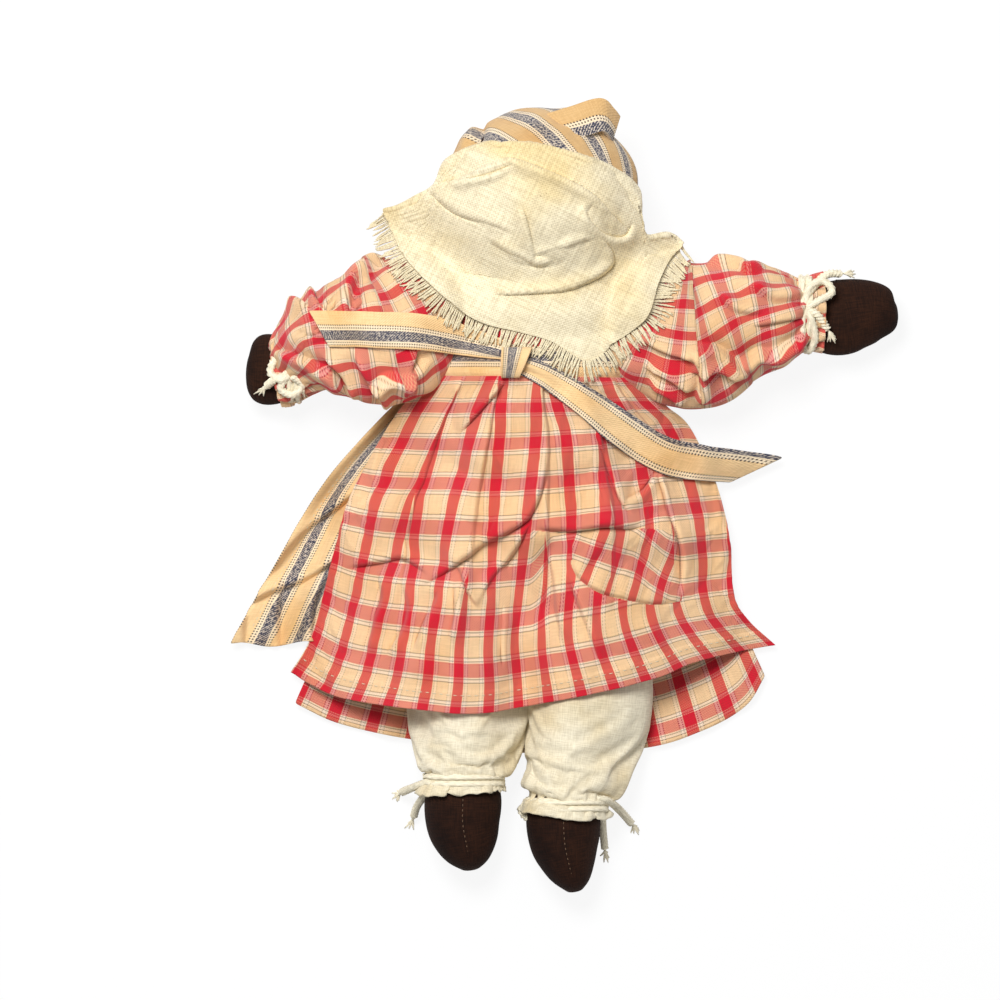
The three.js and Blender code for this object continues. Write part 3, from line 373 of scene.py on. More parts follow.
def cloth_places(rows, columns):
    """Places from 0 to 1 across and down a cloth."""
    return np.linspace(0, 1, columns)[None, :], np.linspace(0, 1, rows)[:, None]


def turned(places, angle):
    """Flat places turned by an angle in degrees: a cloth map cut askew, or spots on the floor plan."""
    turn = math.radians(angle)
    across, along = places[..., 0], places[..., 1]
    return flat_map(across * math.cos(turn) - along * math.sin(turn),
                    across * math.sin(turn) + along * math.cos(turn))


def cloth_map(points, closed=False):
    """Distances across and along a grid of points, so that a woven pattern follows its rows and columns."""
    ring = np.concatenate([points, points[:, :1]], axis=1) if closed else points
    steps_across = np.linalg.norm(np.diff(ring, axis=1), axis=2)
    steps_along = np.linalg.norm(np.diff(points, axis=0), axis=2)
    across = np.concatenate([[0], np.cumsum(np.percentile(steps_across, 80, axis=0))])
    along = np.concatenate([[0], np.cumsum(np.percentile(steps_along, 60, axis=1))])
    return flat_map(across[None, :], along[:, None])


def corners_of(grid):
    """A grid's values at the four corners of each face."""
    return np.stack([grid[:-1, :-1], grid[1:, :-1], grid[1:, 1:], grid[:-1, 1:]], axis=2)


def inside_outline(x, y, outline):
    """Which places lie inside a closed outline on the floor plan."""
    inside = np.zeros(np.shape(x), dtype=bool)
    for (ax, ay), (bx, by) in zip(outline, outline[1:] + outline[:1]):
        crossed = (ay > y) != (by > y)
        inside ^= crossed & ((x - ax) * abs(by - ay) < (bx - ax) * (y - ay) * np.sign(by - ay))
    return inside


class MeshBuilder:
    """Collects grids of points in millimetres into one mesh with a cloth map in millimetres."""

    def __init__(self):
        self.points = []
        self.faces = []
        self.maps = []
        self.count = 0

    def add(self, points, cloth=None, closed=False, caps=False, flip=False, hidden=0.0):
        """Adds one grid; hidden is how far the cloth map moves at each face's four corners."""
        rows, columns, _ = points.shape
        if cloth is None:
            cloth = cloth_map(points, closed)
        index = np.arange(rows * columns).reshape(rows, columns) + self.count
        here = index if closed else index[:, :-1]
        after = np.roll(index, -1, axis=1) if closed else index[:, 1:]
        quads = [here[:-1], here[1:], after[1:], after[:-1]]
        left, right = cloth[:, :-1], cloth[:, 1:]
        corners = np.stack([left[:-1], left[1:], right[1:], right[:-1]], axis=2) + hidden
        if flip:
            quads.reverse()
            corners = corners[:, :, ::-1]
        self.faces += np.stack(quads, axis=-1).reshape(-1, 4).tolist()
        self.maps.append(corners.reshape(-1, 2))
        if caps:
            ends = [index[0], index[-1][::-1]]
            end_maps = [cloth[0, :columns], cloth[-1, :columns][::-1]]
            for end, end_map in zip(ends, end_maps):
                self.faces.append((end[::-1] if flip else end).tolist())
                self.maps.append(end_map[::-1] if flip else end_map)
        self.points.append(points.reshape(-1, 3))
        self.count += rows * columns

    def build(self, name, material=None):
        mesh = bpy.data.meshes.new(name)
        mesh.from_pydata((np.vstack(self.points) * MM).tolist(), [], self.faces)
        layer = mesh.uv_layers.new(name="cloth")
        layer.data.foreach_set("uv", np.vstack(self.maps).ravel().astype(np.float32))
        mesh.polygons.foreach_set("use_smooth", [True] * len(mesh.polygons))
        if material:
            mesh.materials.append(material)
        mesh.update()
        made = bpy.data.objects.new(name, mesh)
        bpy.context.scene.collection.objects.link(made)
        return made


def grid_object(name, points, material=None, cloth=None, **options):
    builder = MeshBuilder()
    builder.add(points, cloth, **options)
    return builder.build(name, material)


def soften(piece, levels=1):
    modifier = piece.modifiers.new("smooth", "SUBSURF")
    modifier.levels = levels
    modifier.render_levels = levels


def thicken(piece, layers=1.0, offset=1.0):
    """Gives a sheet the thickness of that many layers of the dress cloth."""
    modifier = piece.modifiers.new("thickness", "SOLIDIFY")
    modifier.thickness = layers * sizes().cloth_thickness
    modifier.offset = offset


def surface_points(piece):
    """The finished surface's points in millimetres."""
    evaluated = piece.evaluated_get(bpy.context.evaluated_depsgraph_get())
    mesh = evaluated.to_mesh()
    points = np.empty(len(mesh.vertices) * 3, np.float32)
    mesh.vertices.foreach_get("co", points)
    evaluated.to_mesh_clear()
    return points.reshape(-1, 3).astype(float) / MM


class Ground:
    """The height of what lies highest over each spot of the floor."""

    CELL = 1.5
    LOW = np.array([-180.0, -230.0])
    SHAPE = (247, 287)

    def __init__(self):
        self.height = np.zeros(self.SHAPE)

    def add(self, points):
        spots = np.rint((points[:, :2] - self.LOW) / self.CELL).astype(int)
        spots = np.clip(spots, 0, np.array(self.SHAPE) - 1)
        np.maximum.at(self.height, (spots[:, 0], spots[:, 1]), points[:, 2])

    def tented(self, slope, blur=2):
        """Cloth stretched over it: no steeper than the slope, and rounded."""
        made = Ground()
        height = self.height.copy()
        for _ in range(int(height.max() / (slope * self.CELL)) + 1):
            for axis in (0, 1):
                for way in (1, -1):
                    np.maximum(height, np.roll(height, way, axis) - slope * self.CELL, out=height)
        for _ in range(blur):
            for axis in (0, 1):
                height = (np.roll(height, 1, axis) + 2 * height + np.roll(height, -1, axis)) / 4
        made.height = height
        return made

    def at(self, x, y):
        place_x = np.clip((x - self.LOW[0]) / self.CELL, 0, self.SHAPE[0] - 1.001)
        place_y = np.clip((y - self.LOW[1]) / self.CELL, 0, self.SHAPE[1] - 1.001)
        i, j = place_x.astype(int), place_y.astype(int)
        a, b = place_x - i, place_y - j
        near = self.height[i, j] * (1 - b) + self.height[i, j + 1] * b
        far = self.height[i + 1, j] * (1 - b) + self.height[i + 1, j + 1] * b
        return near * (1 - a) + far * a


def above_floor(points, height):
    """The same points, none lower than that height."""
    raised = np.array(points)
    raised[..., 2] = np.maximum(raised[..., 2], height)
    return raised


def swung(points, joint, degrees):
    """Points turned about a joint's upright axis, counter-clockwise from above."""
    centre = PIVOT[joint][:2]
    return np.column_stack([turned(points[:, :2] - centre, degrees) + centre, points[:, 2]])


def floor_square(reach, height):
    """Four corners of a level square around the origin."""
    return np.array([[[-reach, reach, height], [reach, reach, height]],
                     [[-reach, -reach, height], [reach, -reach, height]]])


def collider(piece):
    """A copy of a finished piece that falling cloth lands on."""
    mesh = piece.data.copy()
    made = bpy.data.objects.new("under", mesh)
    for vertex in mesh.vertices:
        vertex.co = vertex.co * FALL_SCALE
    bpy.context.scene.collection.objects.link(made)
    made.modifiers.new("Collision", "COLLISION")
    made.collision.thickness_outer = LANDING_GAP
    made.collision.cloth_friction = LANDING_GRIP
    return made


def floor_collider():
    plane = grid_object("under floor", floor_square(FALL_FLOOR_REACH, 0.0))
    made = collider(plane)
    bpy.data.objects.remove(plane)
    return made


def pin_group(cloth, pins):
    """Holds the pinned points of falling cloth in place."""
    group = cloth.vertex_groups.new(name="pins")
    for number, hold in enumerate(pins.ravel().tolist()):
        if hold > 0:
            group.add([number], hold, "REPLACE")


def edge_pins(rows, columns, held):
    """Pins along the first rows and both sides of a falling cloth."""
    pins = np.zeros((rows, columns))
    pins[:held] = 1
    pins[:, 0] = 1
    pins[:, -1] = 1
    return pins


def settle(points, pins, bodies, frames, closed=False, grow=0.0, pressure=0.0, weight=1.0):
    """Where a grid of cloth comes to rest over the bodies; cloth that grows a little falls in folds."""
    scene = bpy.context.scene
    under = [collider(body) for body in bodies] + [floor_collider()]
    cloth = grid_object("falling", points * FALL_SCALE, closed=closed)
    pin_group(cloth, pins)
    modifier = cloth.modifiers.new("Cloth", "CLOTH")
    settings = modifier.settings
    for key, value in FALLING_CLOTH.items():
        setattr(settings, key, value)
    settings.effector_weights.gravity = weight
    settings.shrink_min = -grow
    settings.use_pressure = pressure > 0
    settings.uniform_pressure_force = pressure
    modifier.collision_settings.collision_quality = 3
    modifier.collision_settings.distance_min = FALLING_GAP
    modifier.point_cache.frame_start = 1
    modifier.point_cache.frame_end = frames
    for number in range(1, frames + 1):
        scene.frame_set(number)
    result = surface_points(cloth).reshape(points.shape) / FALL_SCALE
    scene.frame_set(1)
    for made in under + [cloth]:
        mesh = made.data
        bpy.data.objects.remove(made)
        bpy.data.meshes.remove(mesh)
    if not np.isfinite(result).all():
        raise RuntimeError("the cloth did not come to rest")
    return result


class Recipe:
    """One material and short ways to add its nodes."""

    def __init__(self, name):
        self.material = bpy.data.materials.new(name)
        self.material.use_nodes = True
        self.tree = self.material.node_tree
        self.surface = self.tree.nodes["Principled BSDF"]

    def feed(self, socket, value):
        if isinstance(value, bpy.types.NodeSocket):
            self.tree.links.new(value, socket)
        elif hasattr(socket.default_value, "__len__") and len(socket.default_value) == 4:
            socket.default_value = (*value[:3], 1.0)
        else:
            socket.default_value = value

    def node(self, kind, inputs, output=0, **settings):
        made = self.tree.nodes.new(kind)
        for key, value in settings.items():
            setattr(made, key, value)
        for key, value in inputs.items():
            self.feed(made.inputs[key], value)
        return made.outputs[output]

    def math(self, operation, *values):
        return self.node("ShaderNodeMath", dict(enumerate(values)), operation=operation)

    def mix(self, share, first, second, blend="MIX"):
        inputs = {0: share, 6: first, 7: second}
        return self.node("ShaderNodeMix", inputs, output=2, data_type="RGBA", blend_type=blend)

    def step(self, value, zero, one):
        """0 at the first value, 1 at the second, soft between."""
        inputs = {0: value, 1: zero, 2: one}
        return self.node("ShaderNodeMapRange", inputs, interpolation_type="SMOOTHSTEP")

    def cloth(self):
        """Distance across and along the cloth in millimetres."""
        spot = self.node("ShaderNodeUVMap", {}, uv_map="cloth")
        parts = self.tree.nodes.new("ShaderNodeSeparateXYZ")
        self.feed(parts.inputs[0], spot)
        return parts.outputs[0], parts.outputs[1]

    def noise(self, across, along, wide, long, detail=2.0, seed=0.0):
        """Uneven spots of about that width and length in millimetres."""
        inputs = {0: self.math("DIVIDE", across, wide), 1: self.math("DIVIDE", along, long), 2: seed}
        spot = self.node("ShaderNodeCombineXYZ", inputs)
        return self.node("ShaderNodeTexNoise", {"Vector": spot, "Scale": 1.0, "Detail": detail})

    def wave(self, place, pitch):
        """A wave from -1 to 1 with that pitch in millimetres."""
        return self.math("SINE", self.math("MULTIPLY", place, 2 * math.pi / pitch))

    def band(self, place, repeat, centre, width, soft=0.16):
        """1 inside a stripe of that width once in each repeat, 0 outside."""
        off = self.math("WRAP", self.math("SUBTRACT", place, centre), repeat / 2, -repeat / 2)
        gap = self.math("ABSOLUTE", off)
        return self.step(gap, width / 2 + soft, width / 2 - soft)

    def weave(self, across, along, pitch):
        """Over and under of the yarns, from -1 to 1."""
        return self.math("MULTIPLY", self.wave(across, pitch), self.wave(along, pitch))

    def finish(self, colour, height, bump, roughness=0.9, sheen=0.15):
        """Joins colour and relief to the surface."""
        normal = self.node("ShaderNodeBump", {"Strength": 1.0, "Distance": bump * MM, "Height": height})
        self.feed(self.surface.inputs["Base Color"], colour)
        self.feed(self.surface.inputs["Normal"], normal)
        self.surface.inputs["Roughness"].default_value = roughness
        self.surface.inputs["Specular IOR Level"].default_value = CLOTH_SPECULAR
        self.surface.inputs["Sheen Weight"].default_value = sheen
        self.surface.inputs["Sheen Roughness"].default_value = SHEEN_ROUGHNESS
        return self.material


# How every cloth shines.
CLOTH_SPECULAR = 0.2
SHEEN_ROUGHNESS = 0.6
# Breadth and length of the soiled patches, in millimetres.
SOIL_PATCH = (38, 46)
# The check's lines beside a bar, from the bar's edge, and how softly they end, in millimetres.
CHECK_PALE_ASIDE = 1.2
CHECK_PALE_WIDTH = 2.2
CHECK_DARK_ASIDE = (0.8, 2.4)
CHECK_DARK_WIDTH = 0.45
LINE_SOFTNESS = 0.2
# The ticking's lines beside a stripe, from the stripe's middle, in millimetres.
TICKING_PALE_ASIDE = 3.6
TICKING_PALE_WIDTH = 2.6
TICKING_DARK_ASIDE = (3.6, 4.9)
TICKING_DARK_WIDTH = 0.7
# How strongly the pale lines show.
PALE_SHARE = 0.6
# Lesser colours: shaded yarns, lines, specks, flecks, and the soil over each cloth.
CHECK_SHADED = paint(120, 70, 50)
CHECK_SOIL = paint(243, 230, 208)
TICKING_PALE = paint(250, 238, 214)
TICKING_DARK = paint(54, 42, 44)
TICKING_SPECK = paint(205, 192, 176)
TICKING_SOIL = paint(232, 206, 164)
CREAM_FLECK = paint(120, 92, 60)
CREAM_SOIL = paint(240, 226, 190)


def darker(colour, share):
    """A colour with that share of its light, a little warmer."""
    red, green, blue = colour
    return [red * share, green * share * 0.97, blue * share * 0.92]


def worn(recipe, colour, across, along, soil, strength):
    """Uneven fading and soil over a cloth."""
    spots = recipe.noise(across, along, *SOIL_PATCH, detail=3.0, seed=4.0)
    patches = recipe.step(spots, 0.42, 0.72)
    share = recipe.math("MULTIPLY", patches, strength)
    return recipe.mix(share, colour, recipe.mix(1.0, colour, soil, "MULTIPLY"))


def yarns(recipe, across, along, thickness, length):
    """Uneven thickness of single yarns, both ways, about 0 to 1."""
    warp = recipe.noise(across, along, thickness, length, seed=1.0)
    weft = recipe.noise(across, along, length, thickness, seed=2.0)
    return recipe.math("MULTIPLY", recipe.math("ADD", warp, weft), 0.5)


def check_stripes(recipe, place, dots, repeat, bar, red):
    """Ground, red bar and the pale and dark lines beside it, for one direction of the check."""
    shades = colours()
    colour = shades.check_ground
    for side in (-1, 1):
        pale = recipe.band(place, repeat, side * (bar / 2 + CHECK_PALE_ASIDE), CHECK_PALE_WIDTH)
        colour = recipe.mix(recipe.math("MULTIPLY", pale, PALE_SHARE), colour, shades.check_pale)
        for aside in CHECK_DARK_ASIDE:
            line = recipe.band(place, repeat, side * (bar / 2 + aside), CHECK_DARK_WIDTH, LINE_SOFTNESS)
            colour = recipe.mix(recipe.math("MULTIPLY", line, dots), colour, shades.check_dark)
    return recipe.mix(recipe.band(place, repeat, 0.0, bar), colour, red)


def check_cloth():
    recipe = Recipe("red check homespun")
    across, along = recipe.cloth()
    wide = sizes().check_across / MM
    long = sizes().check_along / MM
    bar = sizes().check_bar / MM
    dots = recipe.step(recipe.wave(along, pitch=1.15), -0.7, 0.4)
    warp = check_stripes(recipe, across, dots, wide, bar, colours().check_red)
    weft = check_stripes(recipe, along, 0.85, long, 1.1 * bar, colours().check_rose)
    thread = recipe.weave(across, along, pitch=1.0)
    share = recipe.math("MULTIPLY_ADD", recipe.band(across, wide, 0.0, bar), -0.46, 0.62)
    colour = recipe.mix(recipe.math("MULTIPLY_ADD", thread, 0.20, share), warp, weft)
    yarn = yarns(recipe, across, along, thickness=0.6, length=9.0)
    shaded = recipe.mix(0.12, colour, CHECK_SHADED)
    colour = recipe.mix(recipe.step(yarn, 0.42, 0.62), shaded, colour)
    colour = worn(recipe, colour, across, along, CHECK_SOIL, strength=0.7)
    return recipe.finish(colour, recipe.math("MULTIPLY_ADD", thread, 0.35, yarn), bump=0.35)


def ticking_cloth(name, tan):
    recipe = Recipe(name)
    across, along = recipe.cloth()
    repeat, stripe = sizes().ticking_repeat / MM, sizes().ticking_stripe / MM
    blue = colours().ticking_blue
    yarn = yarns(recipe, across, along, thickness=0.55, length=8.0)
    twill = recipe.wave(recipe.math("ADD", across, along), pitch=1.3)
    speck = recipe.noise(across, along, wide=0.8, long=1.1, detail=1.0, seed=3.0)
    dotted = recipe.step(recipe.wave(along, pitch=1.2), -0.3, 0.5)
    colour = recipe.mix(recipe.step(yarn, 0.40, 0.62), darker(tan, 0.88), tan)
    for side in (-1, 1):
        pale = recipe.band(across, repeat, side * TICKING_PALE_ASIDE, TICKING_PALE_WIDTH)
        colour = recipe.mix(recipe.math("MULTIPLY", pale, PALE_SHARE), colour, TICKING_PALE)
        for aside in TICKING_DARK_ASIDE:
            line = recipe.band(across, repeat, side * aside, TICKING_DARK_WIDTH, LINE_SOFTNESS)
            colour = recipe.mix(recipe.math("MULTIPLY", line, dotted), colour, TICKING_DARK)
    mottle = recipe.step(recipe.math("MULTIPLY_ADD", twill, 0.12, speck), 0.44, 0.66)
    speckled = recipe.mix(mottle, blue, TICKING_SPECK)
    colour = recipe.mix(recipe.band(across, repeat, 0.0, stripe), colour, speckled)
    colour = worn(recipe, colour, across, along, TICKING_SOIL, strength=0.7)
    return recipe.finish(colour, recipe.math("MULTIPLY_ADD", twill, 0.2, yarn), bump=0.35)


def coarse_cloth():
    recipe = Recipe("coarse cream cotton")
    across, along = recipe.cloth()
    cream = colours().shawl_cream
    thread = recipe.weave(across, along, pitch=1.5)
    yarn = yarns(recipe, across, along, thickness=1.0, length=14.0)
    share = recipe.step(recipe.math("MULTIPLY_ADD", thread, 0.10, yarn), 0.34, 0.62)
    colour = recipe.mix(share, darker(cream, 0.75), cream)
    spots = recipe.noise(across, along, wide=1.1, long=1.6, detail=1.0, seed=7.0)
    fleck = recipe.math("MULTIPLY", recipe.step(spots, 0.72, 0.78), 0.55)
    colour = recipe.mix(fleck, colour, CREAM_FLECK)
    colour = worn(recipe, colour, across, along, CREAM_SOIL, strength=0.8)
    return recipe.finish(colour, recipe.math("MULTIPLY_ADD", thread, 0.25, yarn), bump=0.3)


def plain_cloth(name, shade, depth, soil, thickness, sheen=0.15):
    """A plain weave: one colour, with that share of its light between the yarns, and soil over it."""
    recipe = Recipe(name)
    across, along = recipe.cloth()
    yarn = yarns(recipe, across, along, thickness, 12 * thickness)
    colour = recipe.mix(recipe.step(yarn, 0.36, 0.64), darker(shade, depth), shade)
    colour = worn(recipe, colour, across, along, paint(*soil), strength=0.8)
    return recipe.finish(colour, yarn, bump=0.3, sheen=sheen)


def string_yarn():
    recipe = Recipe("cotton string")
    across, along = recipe.cloth()
    shade = colours().string
    fibre = recipe.noise(across, along, wide=0.4, long=3.0, seed=5.0)
    colour = recipe.mix(recipe.step(fibre, 0.35, 0.65), darker(shade, 0.72), shade)
    return recipe.finish(colour, fibre, bump=0.3)


def sewing_thread(name, shade):
    recipe = Recipe(name)
    across, along = recipe.cloth()
    fibre = recipe.noise(across, along, wide=0.3, long=0.7, detail=1.0, seed=6.0)
    colour = recipe.mix(fibre, darker(shade, 0.7), shade)
    return recipe.finish(colour, fibre, bump=0.1)


CLOTHS = {}
PIECES = {}


def make_cloths():
    """Every material once, by its short name."""
    shades = colours()
    CLOTHS["check"] = check_cloth()
    CLOTHS["ticking"] = ticking_cloth("striped ticking", shades.ticking_tan)
    # The kerchief's ticking, in a darker tan than the other ticking.
    CLOTHS["dull ticking"] = ticking_cloth("darker striped ticking", shades.kerchief_tan)
    CLOTHS["cream"] = coarse_cloth()
    CLOTHS["brown"] = plain_cloth("brown cotton", shades.brown, depth=0.42, soil=(120, 84, 60),
                                  thickness=0.6, sheen=0.0)
    CLOTHS["white"] = plain_cloth("white cotton", shades.cotton_white, depth=0.78,
                                  soil=(240, 228, 202), thickness=0.5)
    CLOTHS["muslin"] = plain_cloth("unbleached muslin", shades.muslin, depth=0.76,
                                   soil=(230, 214, 180), thickness=0.6)
    CLOTHS["string"] = string_yarn()
    CLOTHS["cream thread"] = sewing_thread("cream thread", shades.cream_thread)
    CLOTHS["tan thread"] = sewing_thread("tan thread", shades.tan_thread)
    CLOTHS["rose thread"] = sewing_thread("rose thread", shades.rose_thread)


def keep(piece, slot, *nodes):
    """Books a finished piece under its name and hides the nodes of the frame that it stands for; its
    material slot is not used.
    """
    if nodes:
        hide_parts(*nodes)
    PIECES[piece.name] = piece
    return piece


def cloth_area(piece):
    """Half the finished surface of a cloth with two sides, in square metres."""
    evaluated = piece.evaluated_get(bpy.context.evaluated_depsgraph_get())
    area = sum(polygon.area for polygon in evaluated.to_mesh().polygons) / 2
    evaluated.to_mesh_clear()
    return area


def shaped_sheet(piece, size):
    """Works out the area of cloth cut to a shape within that width and length, in metres; the result is not
    used.
    """
    width, length = size
    area = min(cloth_area(piece), width * length)


def ground_of(*names):
    ground = Ground()
    for name in names:
        ground.add(surface_points(PIECES[name]))
    return ground


# A thread steeper than this is measured from another side than up.
STEEP = 0.95
# Shares of a thread's radius: its core, the ridges of its plies and its tips.
PLY_CORE = 0.86
PLY_RIDGE = 0.2
THREAD_TIP = 0.5


def threads_object(name, paths, radius, material, sides=5, plies=0, lay=0.0):
    """One mesh of thin round threads along the paths; plies and lay give the look of twisted yarn."""
    builder = MeshBuilder()
    turn = full_turn(sides)[None, :]
    for path in paths:
        along = unit(np.gradient(path, axis=0), TINY)
        level = np.abs(along[:, 2]) < STEEP
        guide = np.where(level[:, None], UP, (1.0, 0.0, 0.0))
        side = unit(np.cross(along, guide))
        top = np.cross(side, along)
        gone = lengths_along(path)
        reach = np.full((len(path), sides), float(radius))
        if plies:
            ridges = np.cos(plies * (turn - lay * gone[:, None]))
            reach = reach * (PLY_CORE + PLY_RIDGE * ridges)
        reach[0] *= THREAD_TIP
        reach[-1] *= THREAD_TIP
        ring = (reach * np.cos(turn))[..., None] * side[:, None]
        ring = ring + (reach * np.sin(turn))[..., None] * top[:, None]
        cloth = flat_map(np.linspace(0, 6.3 * radius, sides + 1)[None], gone[:, None])
        builder.add(path[:, None] + ring, cloth, closed=True, caps=True)
    return builder.build(name, material)


# How a stitch comes up, lies on the cloth and goes down, as shares of its lift.
STITCH_RISE = (-1.4, 0.6, 1.0, 0.6, -1.4)


def stitch_paths(line, normals, length, gap=1.6, lift=0.35):
    """Short stitches that come up, lie on the cloth and go down again along a line of points."""
    along = lengths_along(line)
    paths = []
    place = gap
    while place + length < along[-1]:
        wanted = place + length * np.linspace(0, 1, len(STITCH_RISE))
        rise = lift * np.array(STITCH_RISE)
        paths.append(points_at(line, along, wanted) + points_at(normals, along, wanted) * rise[:, None])
        place += length + gap
    return paths


def hem_stitches(name, line, normals):
    """A row of hem stitches in cream thread."""
    paths = stitch_paths(line, normals, sizes().stitch_length / MM)
    return threads_object(name, paths, sizes().thread_radius / MM, CLOTHS["cream thread"])


def grid_normals(points):
    """The way up at each point of an open sheet."""
    across = np.gradient(points, axis=1)
    along = np.gradient(points, axis=0)
    return unit(np.cross(along, across), TINY)


def stuffed(body, rows, count, sides, slot, material):
    """A stuffed form of oval rings, sewn shut at both ends, that moves with its body."""
    path, widths, depths = stations(rows, count)
    rings = tube(path, widths, depths, sides)
    piece = grid_object(body + "_stuffed", rings, CLOTHS[material], closed=True, caps=True)
    soften(piece)
    keep(piece, slot, body)
    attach(piece, body)
    return path, depths


def make_torso():
    low, high, middle = box_mm("torso")
    wide, _, deep = high - low
    rows = [
        (middle[0] - 1, low[1] + 1, middle[2], 50, 20),
        (middle[0] - 1, low[1] + 12, middle[2], 0.9 * wide, 0.92 * deep),
        (middle[0], middle[1] - 20, middle[2], wide, deep),
        (middle[0], middle[1] + 10, middle[2], wide, deep),
        (middle[0] + 1, high[1] - 24, middle[2], 0.95 * wide, 0.95 * deep),
        (middle[0] + 2, high[1] - 15, middle[2], 0.45 * wide, 0.75 * deep),
        (middle[0] + 2, high[1], middle[2], 26, 24),
    ]
    stuffed("torso", rows, count=26, sides=32, slot="muslin", material="muslin")


def make_head():
    low, high, middle = box_mm("head")
    half = (high - low) / 2
    fall = np.linspace(0.06, math.pi - 0.06, 30)
    level = np.zeros_like(fall)
    path = middle + np.stack([level, -half[1] * np.cos(fall), level], axis=1)
    rings = tube(path, 2 * half[0] * np.sin(fall), 2 * half[2] * np.sin(fall), 40)
    head = grid_object("head_stuffed", rings, CLOTHS["brown"], closed=True, caps=True)
    soften(head)
    keep(head, "brown_cotton", "head")
    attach(head, "head")


# The face lies on the floor and is plain: two French knots and a short stitched mouth.
EYE_SPREAD = 13.0
EYE_HEIGHT = 4.0
MOUTH_HALF = 7.0
MOUTH_HEIGHT = -13.0
MOUTH_CURVE = 0.03
KNOT_REACH = 1.9
KNOT_RISE = 0.9
EYE_THREAD = 0.6
MOUTH_THREAD = 0.45
FACE_POINTS = 40


def face_spot(x, y):
    """Points on the front of the head at that distance from its middle."""
    low, high, middle = box_mm("head")
    half = (high - low) / 2
    share = 1 - (x / half[0]) ** 2 - (y / half[1]) ** 2
    return np.stack([middle[0] + x, middle[1] + y, middle[2] - half[2] * np.sqrt(share) - 0.2], axis=-1)


def make_face():
    turn = np.linspace(0, 4 * math.pi, FACE_POINTS)
    reach = np.linspace(KNOT_REACH, EYE_THREAD / 2, FACE_POINTS)
    knots = []
    for side in (-1, 1):
        knot = face_spot(side * EYE_SPREAD + reach * np.cos(turn), EYE_HEIGHT + reach * np.sin(turn))
        knot[:, 2] -= np.linspace(0, KNOT_RISE, FACE_POINTS)
        knots.append(knot)
    smile = np.linspace(-MOUTH_HALF, MOUTH_HALF, FACE_POINTS)
    line = face_spot(smile, MOUTH_HEIGHT + MOUTH_CURVE * smile ** 2)
    stitches = stitch_paths(line, np.tile(-UP, (FACE_POINTS, 1)), length=2.4, gap=0.6)
    eyes = threads_object("face_eyes", knots, EYE_THREAD, CLOTHS["cream thread"])
    mouth = threads_object("face_mouth", stitches, MOUTH_THREAD, CLOTHS["rose thread"])
    for piece in (eyes, mouth):
        keep(piece, "brown_cotton")
        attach(piece, "head")


# Limbs and tubes of cloth are rows of x, y, z, width and depth along them.
ARMS = {
    "left": [
        (-40, 78, 24.1, 20, 20), (-66, 77, 33, 23, 23), (-88, 74, 43, 23, 23), (-100, 65, 39, 23, 23),
        (-105, 55, 27, 23, 22), (-111, 49.6, 19.6, 26, 21), (-119, 48.5, 18, 33, 21),
        (-127, 48.2, 16.8, 34, 20), (-132, 48.3, 16, 27, 16), (-134.5, 48.5, 15.5, 10, 6),
    ],
    "right": [
        (46, 78, 24.1, 20, 20), (70, 77.5, 24, 23, 23), (105, 76.7, 23, 23, 23), (128, 75.5, 21.5, 24, 22),
        (138, 74.5, 20, 32, 21), (148, 73, 19, 37, 22), (158, 75, 18, 34, 22), (167, 75.8, 16.8, 29, 20),
        (174, 75.3, 16, 20, 15), (177, 75.5, 15.6, 7, 6),
    ],
}
LEGS = {
    "left": [
        (-26, -34, 22, 26, 26), (-28, -80, 22, 28, 28), (-30.5, -140, 20.5, 31, 29),
        (-31, -156, 20, 37, 32), (-31.2, -168, 20, 36, 32), (-29.5, -178, 19.5, 31, 30),
        (-28, -186, 18.5, 21, 23), (-27.3, -191, 17.5, 8, 9),
    ],
    "right": [
        (26, -42, 22, 26, 26), (24, -90, 22, 28, 28), (19, -148, 20.5, 31, 29),
        (17, -164, 20, 36, 32), (17.5, -178, 20, 34, 32), (19.5, -188, 19.5, 27, 29),
        (21.5, -196, 18.5, 18, 23), (22.5, -201.5, 17.5, 7, 9),
    ],
}


# The rows of a leg's form that make its foot.
FOOT_ROWS = slice(38, 58)


def make_arms():
    for side, rows in ARMS.items():
        stuffed("arm_" + side, rows, count=54, sides=28, slot="brown_cotton", material="brown")


def make_legs():
    """Both legs and the seam up the back of each foot."""
    for side, rows in LEGS.items():
        body = "leg_" + side
        path, depths = stuffed(body, rows, count=60, sides=28, slot="brown_cotton", material="brown")
        back = path.copy()
        back[:, 2] += depths / 2
        foot = back[FOOT_ROWS]
        stitches = stitch_paths(foot, np.tile(UP, (len(foot), 1)), length=1.2, gap=1.3)
        seam = threads_object("foot_seam_" + side, stitches, sizes().thread_radius / MM,
                              CLOTHS["tan thread"])
        keep(seam, "brown_cotton")
        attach(seam, body)


PANTALOONS = {
    "left": [
        (-27, -22, 22, 46, 38), (-27.5, -60, 22, 49, 39), (-28, -100, 21.5, 53, 40),
        (-29, -124, 21, 50, 38), (-30, -138, 20.5, 42, 34), (-30.6, -146, 20, 34.5, 31),
        (-31, -150, 20, 36, 32), (-31, -156, 20, 40, 35),
    ],
    "right": [
        (27, -30, 22, 46, 38), (27.5, -66, 22, 51, 39), (27, -104, 21.5, 56, 40),
        (24, -134, 21, 50, 38), (20.5, -150, 20.5, 41, 34), (19, -158, 20, 34.5, 31),
        (18.3, -162, 20, 36, 32), (17.8, -168, 20, 39, 35),
    ],
}
PANTALOON_GATHERS = 17
SLEEVE_GATHERS = 15


def tied_row(widths):
    """The row of a tube that its string draws in: the narrowest of its lower half."""
    half = len(widths) // 2
    return half + int(np.argmin(widths[half:]))


